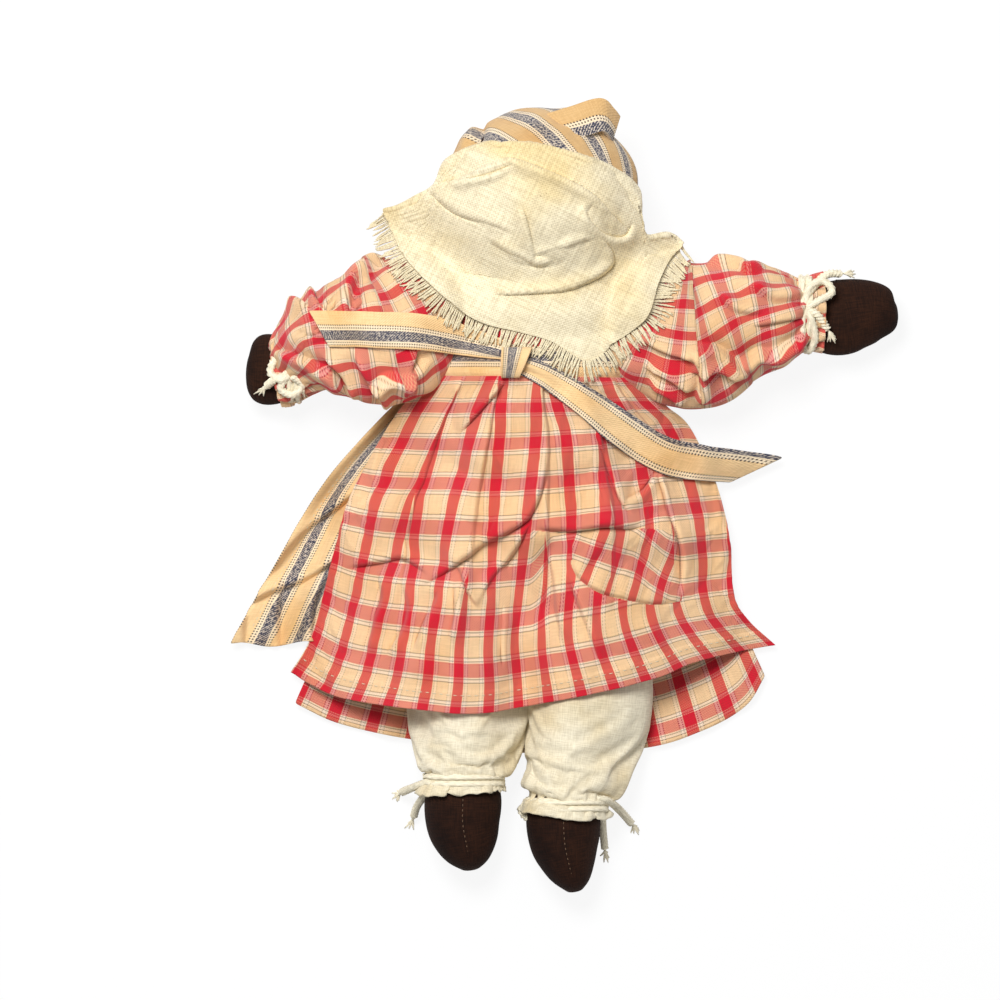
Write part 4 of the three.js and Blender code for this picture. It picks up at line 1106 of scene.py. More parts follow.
def gathered(rings, row, count, depth, seed):
    """Small folds of a tube that is drawn in at one row."""
    rows, sides, _ = rings.shape
    turn = full_turn(sides)[None, :]
    number = np.arange(rows)[:, None]
    near = np.exp(-((number - row) / (0.16 * rows)) ** 2)
    wave = np.cos(count * turn + 0.8 * ripples(turn * 9, number * 0.6, wavelength=9, seed=seed))
    middle = rings.mean(axis=1, keepdims=True)
    return middle + (rings - middle) * (1 + (depth * near * wave)[..., None])


def make_seat():
    low, high, middle = box_mm("pantaloon_seat")
    wide, _, deep = high - low
    rows = [
        (middle[0], high[1], middle[2], 0.55 * wide, 0.5 * deep),
        (middle[0], high[1] - 6, middle[2], 0.95 * wide, 0.9 * deep),
        (middle[0], middle[1], middle[2], wide, deep),
        (middle[0], low[1] + 4, middle[2], wide, 0.96 * deep),
        (middle[0], low[1], middle[2], 0.9 * wide, 0.8 * deep),
    ]
    path, widths, depths = stations(rows, count=22)
    rings = tube(path, widths, depths, sides=48)
    seat = grid_object("pantaloon_seat_cloth", rings, CLOTHS["white"], closed=True)
    soften(seat)
    thicken(seat, offset=-1.0)
    keep(seat, "cotton", "pantaloon_seat")
    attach(seat, "hips")
    shaped_sheet(seat, cloth_map(rings, closed=True)[-1, -1] * MM)


def make_pantaloon(side, rows):
    path, widths, depths = stations(rows, count=64)
    tie = tied_row(widths)
    rings = gathered(tube(path, widths, depths, sides=96), tie, PANTALOON_GATHERS, depth=0.07, seed=11)
    rings = above_floor(rings, 0.8)
    cloth = cloth_map(rings, closed=True)
    pins = np.zeros(rings.shape[:2])
    pins[0] = 1
    pins[tie - 1:tie + 2] = 1
    leg = PIECES[f"leg_{side}_stuffed"]
    rings = settle(rings, pins, [leg], frames=14, closed=True, grow=sizes().pantaloon_spare,
                   pressure=2.5, weight=0.6)
    piece = grid_object(f"pantaloon_{side}_cloth", rings, CLOTHS["white"], cloth, closed=True)
    soften(piece)
    thicken(piece)
    keep(piece, "cotton", "pantaloon_" + side)
    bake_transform(piece)
    shaped_sheet(piece, cloth[-1, -1] * MM)


APRON_LEFT_EDGE = [(-40, 52), (-54, 41), (-95, -2), (-123, -48), (-143, -84)]
APRON_RIGHT_EDGE = [(42, 52), (47, 30), (56, -10), (64, -50), (70, -80)]
APRON_WIDTH = 205.0
APRON_LENGTH = 150.0
APRON_PLEATS = 6.5
APRON_STRIPE_SHIFT = -13.0
# The panel's height above the floor, and the pleats' height under the doll and in the free corner.
APRON_LIFT = 1.1
APRON_FLAT_PLEAT = 0.35
APRON_FREE_PLEAT = 2.4
APRON_LOWEST = 0.8
# Each fold of the free corner: its line, the ridge's height on the line's left, and its width.
APRON_FOLDS = [
    ([(-135, -66), (-124, -49), (-108, -30), (-87, -14), (-70, 2)], 4.0, 3.0),
    ([(-140, -69), (-128, -61), (-112, -54), (-97, -46), (-84, -38)], 4.0, 2.6),
    ([(-120, -92), (-120, -78), (-120, -62), (-117, -50)], 3.2, 2.4),
    ([(-102, -92), (-104, -78), (-102, -62), (-96, -50)], 3.2, 2.4),
    ([(-136, -92), (-137, -80), (-135, -66), (-128, -54)], 2.6, 2.2),
]


def make_apron():
    """The apron's panel under the doll; its left corner lies free in pleats."""
    rows, columns = 100, 160
    left = spline(APRON_LEFT_EDGE, rows)
    right = spline(APRON_RIGHT_EDGE, rows)
    u, v = cloth_places(rows, columns)
    x = left[:, :1] * (1 - u) + right[:, :1] * u
    y = left[:, 1:] * (1 - u) + right[:, 1:] * u
    pleat = np.sin(2 * math.pi * (APRON_PLEATS * u + 0.25 * np.sin(3 * v) + 0.1))
    small = 0.5 * np.sin(2 * math.pi * (15 * u + 0.4 * v))
    free = smooth(-x, 20, 70)
    deep = APRON_FLAT_PLEAT + APRON_FREE_PLEAT * free
    height = APRON_LIFT + deep * (1.3 + pleat + small) * smooth(v, 0.0, 0.25) * (1.0 - 0.25 * v)
    for line, rise, width in APRON_FOLDS:
        height = height + crease(x, y, line, rise, width)
    height = np.maximum(height + 0.5 * (1 + ripples(x, y, wavelength=16, seed=5)) * free, APRON_LOWEST)
    y = y + 1.2 * np.sin(2 * math.pi * APRON_PLEATS * u + 0.8) * smooth(v, 0.6, 1.0)
    points = np.stack([x, y, height], axis=-1)
    panel = grid_object("apron_panel_cloth", points, CLOTHS["ticking"],
                        flat_map(u * APRON_WIDTH + APRON_STRIPE_SHIFT, v * APRON_LENGTH))
    soften(panel)
    thicken(panel)
    keep(panel, "ticking", "apron_panel")
    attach(panel, "torso")
    side = slice(8, -4), 5
    stitches = hem_stitches("apron_hem_stitches", points[side] + (0, 0, 0.7), grid_normals(points)[side])
    keep(stitches, "ticking")
    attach(stitches, "torso")


def bend_with_hips(piece):
    """Bakes where the piece stands into its points; nothing turns it from the waist to the legs."""
    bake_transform(piece)


FRONT_HEM = [(-112, -112), (-90, -122), (-52, -130), (0, -136), (53, -134), (82, -126), (104, -114),
             (114, -99)]
FRONT_WAIST = [(-44, 43), (50, 43)]
FRONT_WIDTH = 212.0
FRONT_LENGTH = 184.0
FRONT_LIFT = 2.0
FRONT_GAP = 0.4


def make_skirt_front():
    rows, columns = 70, 120
    hem = spline(FRONT_HEM, columns)[None]
    waist = np.linspace(*FRONT_WAIST, columns)[None]
    u, v = cloth_places(rows, columns)
    spot = waist + (hem - waist) * v[..., None]
    x, y = spot[..., 0], spot[..., 1]
    wave = 0.9 * np.sin(2 * math.pi * (5.2 * u + 0.15)) + 0.54 * np.sin(2 * math.pi * (9.3 * u + 0.4))
    uneven = 0.4 * ripples(x, y, wavelength=20, seed=8)
    height = FRONT_LIFT + 0.6 * v + smooth(v, 0.7, 1.0) * (1.1 + wave + uneven)
    under = ground_of("apron_panel_cloth").tented(CLOTH_SLOPE)
    height = np.maximum(height, under.at(x, y) + FRONT_GAP)
    points = np.stack([x, y, height], axis=-1)
    cloth = flat_map(u * FRONT_WIDTH, v * FRONT_LENGTH)
    panel = grid_object("skirt_front_cloth", points, CLOTHS["check"], cloth)
    soften(panel)
    thicken(panel)
    keep(panel, "check", "skirt_front")
    bend_with_hips(panel)


SKIRT_LEFT_EDGE = [(-48, 45), (-65, 24), (-84, -10), (-92, -35), (-100, -66), (-106, -84), (-114, -97)]
SKIRT_RIGHT_EDGE = [(53, 44), (66, 31), (78, 20), (91, -8), (97, -35), (99, -60), (106, -72), (119, -84)]
SKIRT_HEM = [(-114, -97), (-103, -104), (-87, -109), (-56, -113), (-22, -115), (21, -108), (60, -99),
             (82, -91), (119, -84)]
# Where the falling cloth starts above what it covers, and the least gap that stays, in millimetres.
SKIRT_LIFT = 4.0
SKIRT_GAP = 1.4
# How far each leg swings out under the skirt, in degrees.
LEG_SWINGS = (5, 10)
# Height of a pleat in millimetres, and its rise and drop as shares of the skirt's width.
PLEAT_HEIGHT = 4.0
PLEAT_RISE = 0.09
PLEAT_DROP = 0.012
# Height of the turned hem in millimetres, its step and its stitches' place as shares of the length.
HEM_HEIGHT = 0.7
HEM_STEP = 0.004
HEM_STITCHES = 0.015
# Each pleat: its place across the skirt and how far down it keeps its height.
SKIRT_PLEATS = [(0.17, 0.25), (0.34, 0.2), (0.53, 0.35), (0.70, 0.3), (0.86, 0.25)]
# The tuck across the back, on the floor plan.
SKIRT_TUCK = [(2, -27), (10, -28), (23, -29), (36, -27), (48, -27.5), (58, -26)]
# Each fold: the line that it follows, the ridge's height on the line's left, and its width.
SKIRT_FOLDS = [
    ([(-54, -57), (-37, -46.5), (-21, -36), (-3, -25.5), (2.5, -19), (6.5, -9), (9, 3), (10.5, 13)],
     4.8, 4.5),
    ([(-24, -62), (-17, -52), (-9, -42.5), (-4, -34.5), (2, -23)], 4.0, 3.2),
    (SKIRT_TUCK, 5.6, 5.0),
    ([(31, 19), (36.5, 7), (42, -10), (45.5, -16.5), (51, -23)], 3.6, 3.5),
    ([(63, 0), (56, -10), (46, -15)], 3.6, 3.0),
    ([(62, 2), (68, -19), (74, -38), (74.5, -61)], 4.4, 4.0),
    ([(22, -38), (22, -45), (26, -51.5), (36.5, -58), (60, -63), (76, -61.5)], 2.2, 4.5),
    ([(-33, 17), (-22, 29), (-10, 43)], 3.6, 2.6),
    ([(-90, -47), (-72, -44), (-62, -42), (-54, -46), (-47, -51)], 3.6, 4.0),
    ([(-72, -46), (-71, -61), (-75, -75), (-78, -91)], 3.2, 3.6),
    ([(-60, -52), (-58.5, -69), (-64, -82), (-70, -91)], 3.6, 3.4),
    ([(-42, -56), (-49, -71), (-56, -87)], 3.6, 3.6),
    ([(-35, -52), (-35.5, -69), (-39, -82)], 3.2, 3.0),
    ([(-34, -44), (-29, -58), (-24, -66)], 3.2, 2.6),
    ([(-12, -62), (-13, -80), (-12, -96)], 2.6, 3.4),
    ([(9, -38), (13, -58), (17, -84)], 3.2, 3.6),
    ([(20, -50), (27, -69), (36, -92)], 3.2, 3.8),
]
# The part below the tuck whose threads lie turned: its outline, and how far it turns as a slope.
SKIRT_FLAP = [(22, -30.3), (36, -28.3), (48, -28.8), (58, -27.8), (71, -30), (74, -38), (74.5, -62),
              (60, -64.3), (36, -59.2), (25, -52.3), (21, -45)]
SKIRT_FLAP_TURN = 0.38
# How far beside its line a fold's steep side ends.
FOLD_DROP = 1.3
# Where the check's bars lie across the skirt.
SKIRT_CHECK_SHIFT = 7.5


def skirt_spots(share, down):
    """Where each thread of the skirt's back lies on the floor plan, and the skirt's width at each row."""
    left = curve_at(SKIRT_LEFT_EDGE, down)
    right = curve_at(SKIRT_RIGHT_EDGE, down)
    hem = curve_at(SKIRT_HEM, share)
    straight = hem[:, :1] + (hem[:, -1:] - hem[:, :1]) * share[..., None]
    spot = left + (right - left) * share[..., None] + (hem - straight) * down[..., None] ** 1.6
    return spot[..., 0], spot[..., 1], np.linalg.norm(right - left, axis=-1)


def pleat_height(share, down):
    """Height of the pleats: a soft rise from the left and a sharp drop on the right."""
    height = 0.0
    for place, reach in SKIRT_PLEATS:
        rise = smooth(share, place - PLEAT_RISE, place)
        ridge = np.where(share < place, rise, 1 - smooth(share, place, place + PLEAT_DROP))
        height = height + PLEAT_HEIGHT * ridge * smooth(down, 0.0, 0.06) * (1 - smooth(down, reach, 0.9))
    return height


def pleats_closed(down):
    """How far the pleats hide their cloth: wholly at the waist, not at all near the hem."""
    return 1 - smooth(down, 0.35, 0.85)


def hidden_cloth(share, down, taken_in):
    """How far the cloth map moves at each face's corners, because pleats, tuck and flap hide cloth."""
    x, y, _ = skirt_spots(share, down)
    corner_x, corner_y = corners_of(x), corners_of(y)
    middle_x, middle_y = corner_x.mean(axis=2), corner_y.mean(axis=2)
    edges = np.array([0.0] + [place for place, _ in SKIRT_PLEATS] + [1.0])
    between = np.searchsorted(edges, (share[0, 1:] + share[0, :-1]) / 2) - 1
    jump = taken_in * pleats_closed(down) * ((edges[between] + edges[between + 1]) / 2 - 0.5)
    across = np.stack([jump[:-1], jump[1:], jump[1:], jump[:-1]], axis=2)
    tuck_x, tuck_y = np.array(SKIRT_TUCK).T
    under = np.interp(x, tuck_x, tuck_y) - FOLD_DROP - y
    ends = smooth(x, 0, 12) * (1 - smooth(x, 50, 70))
    deep = sizes().skirt_tuck / MM * ends * (1 - smooth(under, 10, 60))
    below_tuck = middle_y < np.interp(middle_x, tuck_x, tuck_y) - FOLD_DROP
    along = corners_of(deep) * below_tuck[..., None]
    turn = SKIRT_FLAP_TURN * inside_outline(middle_x, middle_y, SKIRT_FLAP)[..., None]
    corner = SKIRT_FLAP[0]
    across = across + turn * (corner[1] - corner_y)
    along = along - turn * (corner_x - corner[0])
    return np.stack([across, along], axis=-1)


def skirt_relief(share, down, hem_start):
    """Height of pleats, folds, small waves and the turned hem above the plainly draped cloth."""
    x, y, _ = skirt_spots(share, down)
    inside = smooth(share, 0.0, 0.08) * (1 - smooth(share, 0.92, 1.0))
    folds = 0.6 * ripples(x, y, wavelength=24, seed=12)
    for line, rise, spread in SKIRT_FOLDS:
        folds = folds + crease(x, y, line, rise, spread, hollow=0.3, groove=0.45)
    hem = HEM_HEIGHT * smooth(down, hem_start - HEM_STEP, hem_start + HEM_STEP)
    return pleat_height(share, down) + folds * inside + hem


def skirt_cloth(share, down):
    """The skirt's cloth map and its moves over cloth hidden in pleats and tuck."""
    width = skirt_spots(share, down)[2] * (1 + sizes().hem_waves * smooth(down, 0.5, 1.0))
    shown = (sizes().skirt_length - sizes().skirt_tuck) / MM
    taken_in = sizes().skirt_width / MM - width
    opened = width + taken_in * (1 - pleats_closed(down))
    cloth = flat_map((share - 0.5) * opened + SKIRT_CHECK_SHIFT, down * shown)
    return cloth, hidden_cloth(share, down, taken_in)


def draped_skirt(ground, bodies):
    """The skirt's back laid over the legs, before its folds."""
    rows, columns = 120, 191
    x, y, _ = skirt_spots(*cloth_places(rows, columns))
    points = np.stack([x, y, ground.tented(0.55, blur=6).at(x, y) + SKIRT_LIFT], axis=-1)
    return settle(points, edge_pins(rows, columns, held=3), bodies, frames=8, grow=0.015, weight=0.15)


def skirt_ground(under):
    """What the skirt's back lies over: the pieces below it, and the legs where they swing out."""
    ground = ground_of(*under, "skirt_front_cloth")
    for side, way in (("left", -1), ("right", 1)):
        points = surface_points(PIECES[f"pantaloon_{side}_cloth"])
        for degrees in LEG_SWINGS:
            ground.add(swung(points, side + "_leg_splay", way * degrees))
    return ground


def make_skirt_back():
    under = ["pantaloon_seat_cloth", "pantaloon_left_cloth", "pantaloon_right_cloth", "torso_stuffed"]
    ground = skirt_ground(under)
    points = finer(draped_skirt(ground, [PIECES[name] for name in under]))
    rows, columns, _ = points.shape
    share, down = cloth_places(rows, columns)
    hem_start = 1 - sizes().skirt_hem / sizes().skirt_length
    points[..., 2] += skirt_relief(share, down, hem_start)
    lowest = ground.tented(CLOTH_SLOPE, blur=2).at(points[..., 0], points[..., 1]) + SKIRT_GAP
    points[..., 2] = np.maximum(points[..., 2], lowest)
    cloth, hidden = skirt_cloth(share, down)
    panel = grid_object("skirt_back_cloth", points, CLOTHS["check"], cloth, hidden=hidden)
    thicken(panel)
    keep(panel, "check", "skirt_back")
    bend_with_hips(panel)
    row = int((hem_start + HEM_STITCHES) * (rows - 1))
    normals = grid_normals(points)[row]
    stitches = hem_stitches("skirt_hem_stitches", points[row] + 0.8 * normals, normals)
    keep(stitches, "check")
    bend_with_hips(stitches)
    cut = sizes().skirt_width, sizes().skirt_length
    shaped_sheet(panel, cut)


def make_bodice():
    low, high, middle = box_mm("bodice")
    wide, _, deep = high - low
    rows = [
        (middle[0], low[1], middle[2], wide, deep),
        (middle[0], low[1] + 12, middle[2], wide + 3, deep + 1),
        (middle[0], middle[1] + 10, middle[2], wide + 2, deep),
        (middle[0], high[1], middle[2], 0.93 * wide, 0.93 * deep),
    ]
    path, widths, depths = stations(rows, count=30)
    rings = tube(path, widths, depths, sides=90)
    bodice = grid_object("bodice_cloth", rings, CLOTHS["check"], closed=True)
    soften(bodice)
    thicken(bodice)
    keep(bodice, "check", "bodice")
    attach(bodice, "torso")
    shaped_sheet(bodice, cloth_map(rings, closed=True)[-1, -1] * MM)


# Where the ticking's stripes lie across the waistband.
BAND_STRIPE_SHIFT = 6.5
BAND_WRINKLE = 0.012
BAND_LOWEST = 1.2


def make_waistband():
    low, high, middle = box_mm("apron_waistband")
    wide, _, deep = high - low
    rows = [
        (middle[0], low[1], middle[2], wide - 1, deep - 2),
        (middle[0], low[1] + 4, middle[2], wide + 5, deep),
        (middle[0], high[1] - 4, middle[2], wide + 5, deep),
        (middle[0], high[1], middle[2], wide - 1, deep - 2),
    ]
    count, sides = 14, 120
    path, widths, depths = stations(rows, count)
    rings = tube(path, widths, depths, sides)
    turn = full_turn(sides)[None, :]
    wrinkle = BAND_WRINKLE * np.sin(np.arange(count)[:, None] * 1.1 + 3 * np.sin(2 * turn))
    centre = rings.mean(axis=1, keepdims=True)
    rings = above_floor(centre + (rings - centre) * (1 + wrinkle[..., None]), BAND_LOWEST)
    around = cloth_map(rings, closed=True)
    cloth = flat_map(around[..., 1] + BAND_STRIPE_SHIFT, around[..., 0])
    band = grid_object("waistband_cloth", rings, CLOTHS["ticking"], cloth, closed=True)
    soften(band)
    thicken(band, 1.5)
    keep(band, "ticking", "apron_waistband")
    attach(band, "torso")
    shaped_sheet(band, around[-1, -1, ::-1] * MM)


SLEEVES = {
    "left": [
        (-42, 78, 25, 54, 43), (-56, 71, 29, 64, 46), (-70, 65, 33, 68, 46), (-86, 62.5, 34, 57, 43),
        (-101, 59, 29, 45, 37), (-111, 49.5, 20, 29, 28), (-114, 48.6, 19, 30, 29), (-119, 48, 18, 34, 32),
    ],
    "right": [
        (46, 75, 25, 56, 43), (60, 68, 25, 62, 43), (80, 65, 25, 71, 44), (100, 71, 25, 58, 42),
        (117, 73.5, 24, 49, 39), (131, 75.5, 21, 31, 28.5), (134, 75.5, 20.5, 32, 29.5),
        (141, 75.5, 20, 36, 34),
    ],
}
# Where the dropped shoulder ends and the sleeve's own cloth begins, along x, and how far its bars run askew.
SHOULDER_SEAM = {"left": -70.0, "right": 80.0}
SLEEVE_SKEW = {"left": -0.22, "right": 0.22}
# The least gap between a sleeve's upper half and the arm, and between its lower half and the floor.
SLEEVE_GAP = 1.6
SLEEVE_LOWEST = 1.0
# Each fold: its line, the ridge's height on the line's left, and its width.
SLEEVE_FOLDS = {
    "left": [
        ([(-87, 66), (-85, 76), (-83, 86), (-78, 93), (-62, 104)], 6.5, 3.8),
        ([(-92, 70), (-98, 77), (-102, 85), (-102, 96)], 5.4, 3.4),
        ([(-101, 74), (-109, 79), (-120, 80)], 4.6, 3.0),
        ([(-86, 34), (-93, 46), (-101, 50), (-109, 54), (-122, 58)], 6.2, 3.4),
        ([(-84, 58), (-80, 49), (-76, 43), (-71, 36), (-68, 25)], 6.0, 3.4),
        ([(-45, 54), (-57, 47), (-66, 45), (-80, 43)], 6.0, 3.4),
        ([(-98, 55), (-89, 45), (-83, 33)], 4.8, 3.0),
        ([(-60, 32), (-57, 42), (-52, 60)], 4.8, 3.2),
    ],
    "right": [
        ([(106, 47), (99, 51), (92, 57), (85, 59), (72, 56)], 6.2, 3.4),
        ([(134, 69), (126, 61), (116, 57), (108, 56), (97, 47)], 6.2, 3.4),
        ([(77, 45), (88, 49), (101, 43)], 5.2, 3.2),
        ([(84, 96), (99, 97), (105, 94), (115, 97)], 4.8, 3.2),
        ([(77, 58), (82, 46), (80, 30)], 5.2, 3.2),
        ([(52, 63), (68, 56), (82, 52)], 5.2, 3.2),
        ([(54, 49), (68, 45), (79, 36)], 5.2, 3.2),
        ([(56, 41), (66, 37), (75, 29)], 4.4, 2.8),
        ([(104, 86), (118, 81), (132, 82)], 4.4, 3.0),
        ([(106, 68), (120, 71), (133, 73)], 4.0, 3.0),
        ([(90, 84), (98, 76), (112, 74)], 4.0, 3.6),
    ],
}


def bend_with_arm(piece):
    """Bakes where the piece stands into its points; nothing turns it from the body to the arm."""
    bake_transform(piece)


def sleeve_rings(side, path, rings):
    """A sleeve's tube with the folds that stand out on its upper half, clear of the arm inside it."""
    x, y = rings[..., 0], rings[..., 1]
    outward = unit(rings - path[:, None])
    upper = smooth(outward[..., 2], -0.15, 0.25)
    fold = 0.9 * ripples(x, y, wavelength=18, seed=23)
    for line, rise, width in SLEEVE_FOLDS[side]:
        fold = fold + crease(x, y, line, rise, width, hollow=0.35)
    made = rings + outward * (upper * fold)[..., None]
    arm_top = ground_of(f"arm_{side}_stuffed").tented(2.0, blur=0).at(made[..., 0], made[..., 1])
    lowest = np.where(upper > 0.5, arm_top + SLEEVE_GAP, SLEEVE_LOWEST)
    made[..., 2] = np.maximum(made[..., 2], lowest)
    return made


def make_sleeve(side, rows):
    path, widths, depths = stations(rows, count=190)
    rings = tube(path, widths, depths, sides=300)
    rings = gathered(rings, tied_row(widths), SLEEVE_GATHERS, depth=0.08, seed=21)
    cloth = (1 + sizes().sleeve_spare) * cloth_map(rings, closed=True)
    rings = sleeve_rings(side, path, rings)
    seam = int(np.argmin(np.abs(path[:, 0] - SHOULDER_SEAM[side])))
    builder = MeshBuilder()
    builder.add(rings[:seam + 1], cloth[:seam + 1], closed=True)
    across, along = cloth[seam:, :, 0], cloth[seam:, :, 1]
    builder.add(rings[seam:], flat_map(across - SLEEVE_SKEW[side] * along, along), closed=True)
    piece = builder.build(f"sleeve_{side}_cloth", CLOTHS["check"])
    thicken(piece)
    keep(piece, "check", "sleeve_" + side)
    bend_with_arm(piece)
    shaped_sheet(piece, cloth[-1, -1] * MM)


# Each tail: its course as x, y and width, the slant of its cut end, and how its stripes lie across it.
SASH_TAILS = {
    "left": (
        [(-9, 56, 8), (-22, 59.5, 12.5), (-48, 65, 17), (-75, 66.5, 17), (-104, 67, 17)],
        -10, 3.0, 18.0,
    ),
    "right": (
        [(-6, 51, 7), (8, 45, 10), (28, 32, 14), (47, 18, 17), (63, 8, 17), (78, 4, 17), (98, 1.5, 15)],
        24, 8.3, 15.0,
    ),
}
SASH_LIFT = 1.6
# The dress above the waist, which sash and shawl lie on.
DRESS_TOP = ["bodice_cloth", "sleeve_left_cloth", "sleeve_right_cloth"]


def tail_points(course, slant, ground):
    """A strip of cloth laid along its course, its end cut on a slant, and how far along it each row lies."""
    rows, columns = 90, 17
    line = spline(course, rows)
    way = unit(np.gradient(line[:, :2], axis=0))
    side = np.stack([way[:, 1], -way[:, 0]], axis=1)
    w = np.linspace(-0.5, 0.5, columns)[None, :]
    v = np.linspace(0, 1, rows)[:, None]
    spot = line[:, None, :2] + side[:, None, :] * (line[:, 2:3] * w)[..., None]
    spot = spot + way[:, None, :] * (slant * (0.5 - w) * v ** 6)[..., None]
    x, y = spot[..., 0], spot[..., 1]
    crimp = 1.6 * np.cos(3 * math.pi * w + 0.5) * np.exp(-v / 0.22)
    roll = 0.7 * np.cos(2 * math.pi * w) * np.sin(5 * v + 3)
    height = ground.at(x, y) + SASH_LIFT + crimp + roll + 0.5 * ripples(x, y, wavelength=18, seed=3)
    return np.stack([x, y, height], axis=-1), lengths_along(line[:, :2])


def make_sash_tail(side, ground):
    course, slant, shift, shown = SASH_TAILS[side]
    points, gone = tail_points(course, slant, ground)
    w = np.linspace(-0.5, 0.5, points.shape[1])
    cloth = flat_map(w[None, :] * shown + shift, gone[:, None])
    tail = grid_object(f"sash_tail_{side}_cloth", points, CLOTHS["ticking"], cloth, flip=side == "left")
    soften(tail)
    thicken(tail, 1.3)
    keep(tail, "ticking", "sash_tail_" + side)
    if side == "left":
        bend_with_arm(tail)
    else:
        bend_with_hips(tail)


def make_sash_knot(ground):
    """One turn of the sash over both tails."""
    _, _, middle = box_mm("sash_knot")
    turn = np.linspace(-0.25 * math.pi, 1.25 * math.pi, 30)[:, None]
    w = np.linspace(-0.5, 0.5, 15)[None, :]
    x = middle[0] + 11.5 * w * (1 + 0.25 * np.cos(turn)) + 1.5 * np.cos(turn)
    y = middle[1] + 7.4 * np.cos(turn)
    top = ground.at(middle[:1], middle[1:2])
    z = top + 2.2 + (4.6 + 0.8 * np.cos(4 * math.pi * w)) * np.sin(turn)
    points = np.stack(np.broadcast_arrays(x, y, z), axis=-1)
    cloth = flat_map(w * sizes().sash_width / MM + 2.0, turn * 9)
    knot = grid_object("sash_knot_cloth", points, CLOTHS["ticking"], cloth, flip=True)
    soften(knot)
    thicken(knot, 1.6)
    keep(knot, "ticking", "sash_knot")
    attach(knot, "torso")


def make_sash():
    ground = ground_of(*DRESS_TOP, "waistband_cloth", "skirt_back_cloth").tented(CLOTH_SLOPE, blur=4)
    for side in SASH_TAILS:
        make_sash_tail(side, ground)
    make_sash_knot(ground)


# The kerchief's knot, from the middle of the head.
KNOT_SPOT = (21.0, 31.0, 8.0)
KERCHIEF_BULGE = [(-30, 150), (-24, 159), (-22, 168), (-12, 172)]
KERCHIEF_STRIPE_TURN = 36.0
KERCHIEF_STRIPE_SHIFT = 3.0
# The least gap between the wrap and the head, and between the wrap and the floor.
KERCHIEF_GAP = 1.3
KERCHIEF_LOWEST = 1.0


def crown_map(x, y, z):
    """A cloth map laid flat around the crown of a round head, from shares of its half sizes."""
    side = 0.6 * y - 0.8 * z
    crown = 0.8 * y + 0.6 * z
    spread = 42 * np.arccos(np.clip(crown, -1, 1)) / np.maximum(np.hypot(x, side), 0.02)
    return flat_map(spread * x, spread * side)


def make_kerchief_wrap():
    low, high, middle = box_mm("head")
    half = (high - low) / 2 + KERCHIEF_GAP
    rows, columns = 60, 140
    turn = full_turn(columns)[None, :]
    rim = 0.60 * math.pi + 0.14 * math.pi * np.sin(turn)
    fall = np.linspace(0.001, 1, rows)[:, None] * rim
    x = half[0] * np.sin(fall) * np.cos(turn)
    y = half[1] * np.cos(fall)
    z = half[2] * np.sin(fall) * np.sin(turn)
    slanted = (0.72 * x + 0.69 * y) / 2.6 + 0.9 * ripples(x, y, wavelength=40, seed=31)
    fold = 0.5 * np.sin(slanted) + 0.5 * ripples(x, z, wavelength=20, seed=32)
    fold = fold + crease(x + middle[0], y + middle[1], KERCHIEF_BULGE, rise=3.0, width=3.0)
    near = np.sqrt((x - KNOT_SPOT[0]) ** 2 + (y - KNOT_SPOT[1]) ** 2 + (z - KNOT_SPOT[2]) ** 2)
    gather = 1.6 * np.cos(7 * np.arctan2(y - KNOT_SPOT[1], x - KNOT_SPOT[0])) * np.exp(-near / 16)
    swell = 1 + (0.9 + fold + gather + 2.0 * np.exp(-(near / 12) ** 2)) / 40
    points = middle + np.stack([x, y, z], axis=-1) * swell[..., None]
    points = above_floor(points, KERCHIEF_LOWEST)
    cloth = turned(crown_map(x / half[0], y / half[1], z / half[2]), -KERCHIEF_STRIPE_TURN)
    cloth = cloth + (KERCHIEF_STRIPE_SHIFT, 0.0)
    cloth = np.concatenate([cloth, cloth[:, :1]], axis=1)
    wrap = grid_object("kerchief_cloth", points, CLOTHS["dull ticking"], cloth, closed=True, flip=True)
    soften(wrap)
    thicken(wrap, 1.3)
    keep(wrap, "ticking", "kerchief_wrap")
    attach(wrap, "head")
    shaped_sheet(wrap, np.ptp(cloth.reshape(-1, 2), axis=0) * MM)


# The tail's two edges from the knot over its crease to its end: x, y and z.
KERCHIEF_TAIL_TOP = [(6, 168, 50), (20, 172, 56), (34, 176, 58), (40, 171.5, 54), (43, 168, 50)]
KERCHIEF_TAIL_LOW = [(20, 157, 58), (28, 158.5, 60), (35, 160.5, 60), (38, 158, 55), (39, 155.5, 50)]
KERCHIEF_TAIL_WIDTH = 15.0
KERCHIEF_TAIL_SHIFT = 5.5


def make_kerchief_tail():
    rows, columns = 46, 30
    top = spline(KERCHIEF_TAIL_TOP, rows)[:, None]
    low = spline(KERCHIEF_TAIL_LOW, rows)[:, None]
    w = np.linspace(0, 1, columns)[None, :]
    points = top + (low - top) * w[..., None]
    points[..., 2] += 1.6 * np.sin(math.pi * w)
    gone = lengths_along(low[:, 0])[:, None]
    cloth = flat_map(w * KERCHIEF_TAIL_WIDTH + KERCHIEF_TAIL_SHIFT, gone)
    tail = grid_object("kerchief_tail_cloth", points, CLOTHS["dull ticking"], cloth)
    soften(tail)
    thicken(tail, 3.6, offset=0.0)
    keep(tail, "ticking", "kerchief_tail")
    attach(tail, "head")


def make_kerchief_knot():
    _, _, middle = box_mm("kerchief_knot")
    fall = np.linspace(0.05, math.pi - 0.05, 20)
    path = middle + np.stack([-8 * np.cos(fall), -3 * np.cos(fall), np.zeros_like(fall)], axis=1)
    rings = tube(path, 13 * np.sin(fall) + 0.3, 15 * np.sin(fall) + 0.3, 28)
    knot = grid_object("kerchief_knot_cloth", rings, CLOTHS["dull ticking"], closed=True, caps=True)
    soften(knot)
    keep(knot, "ticking", "kerchief_knot")
    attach(knot, "head")


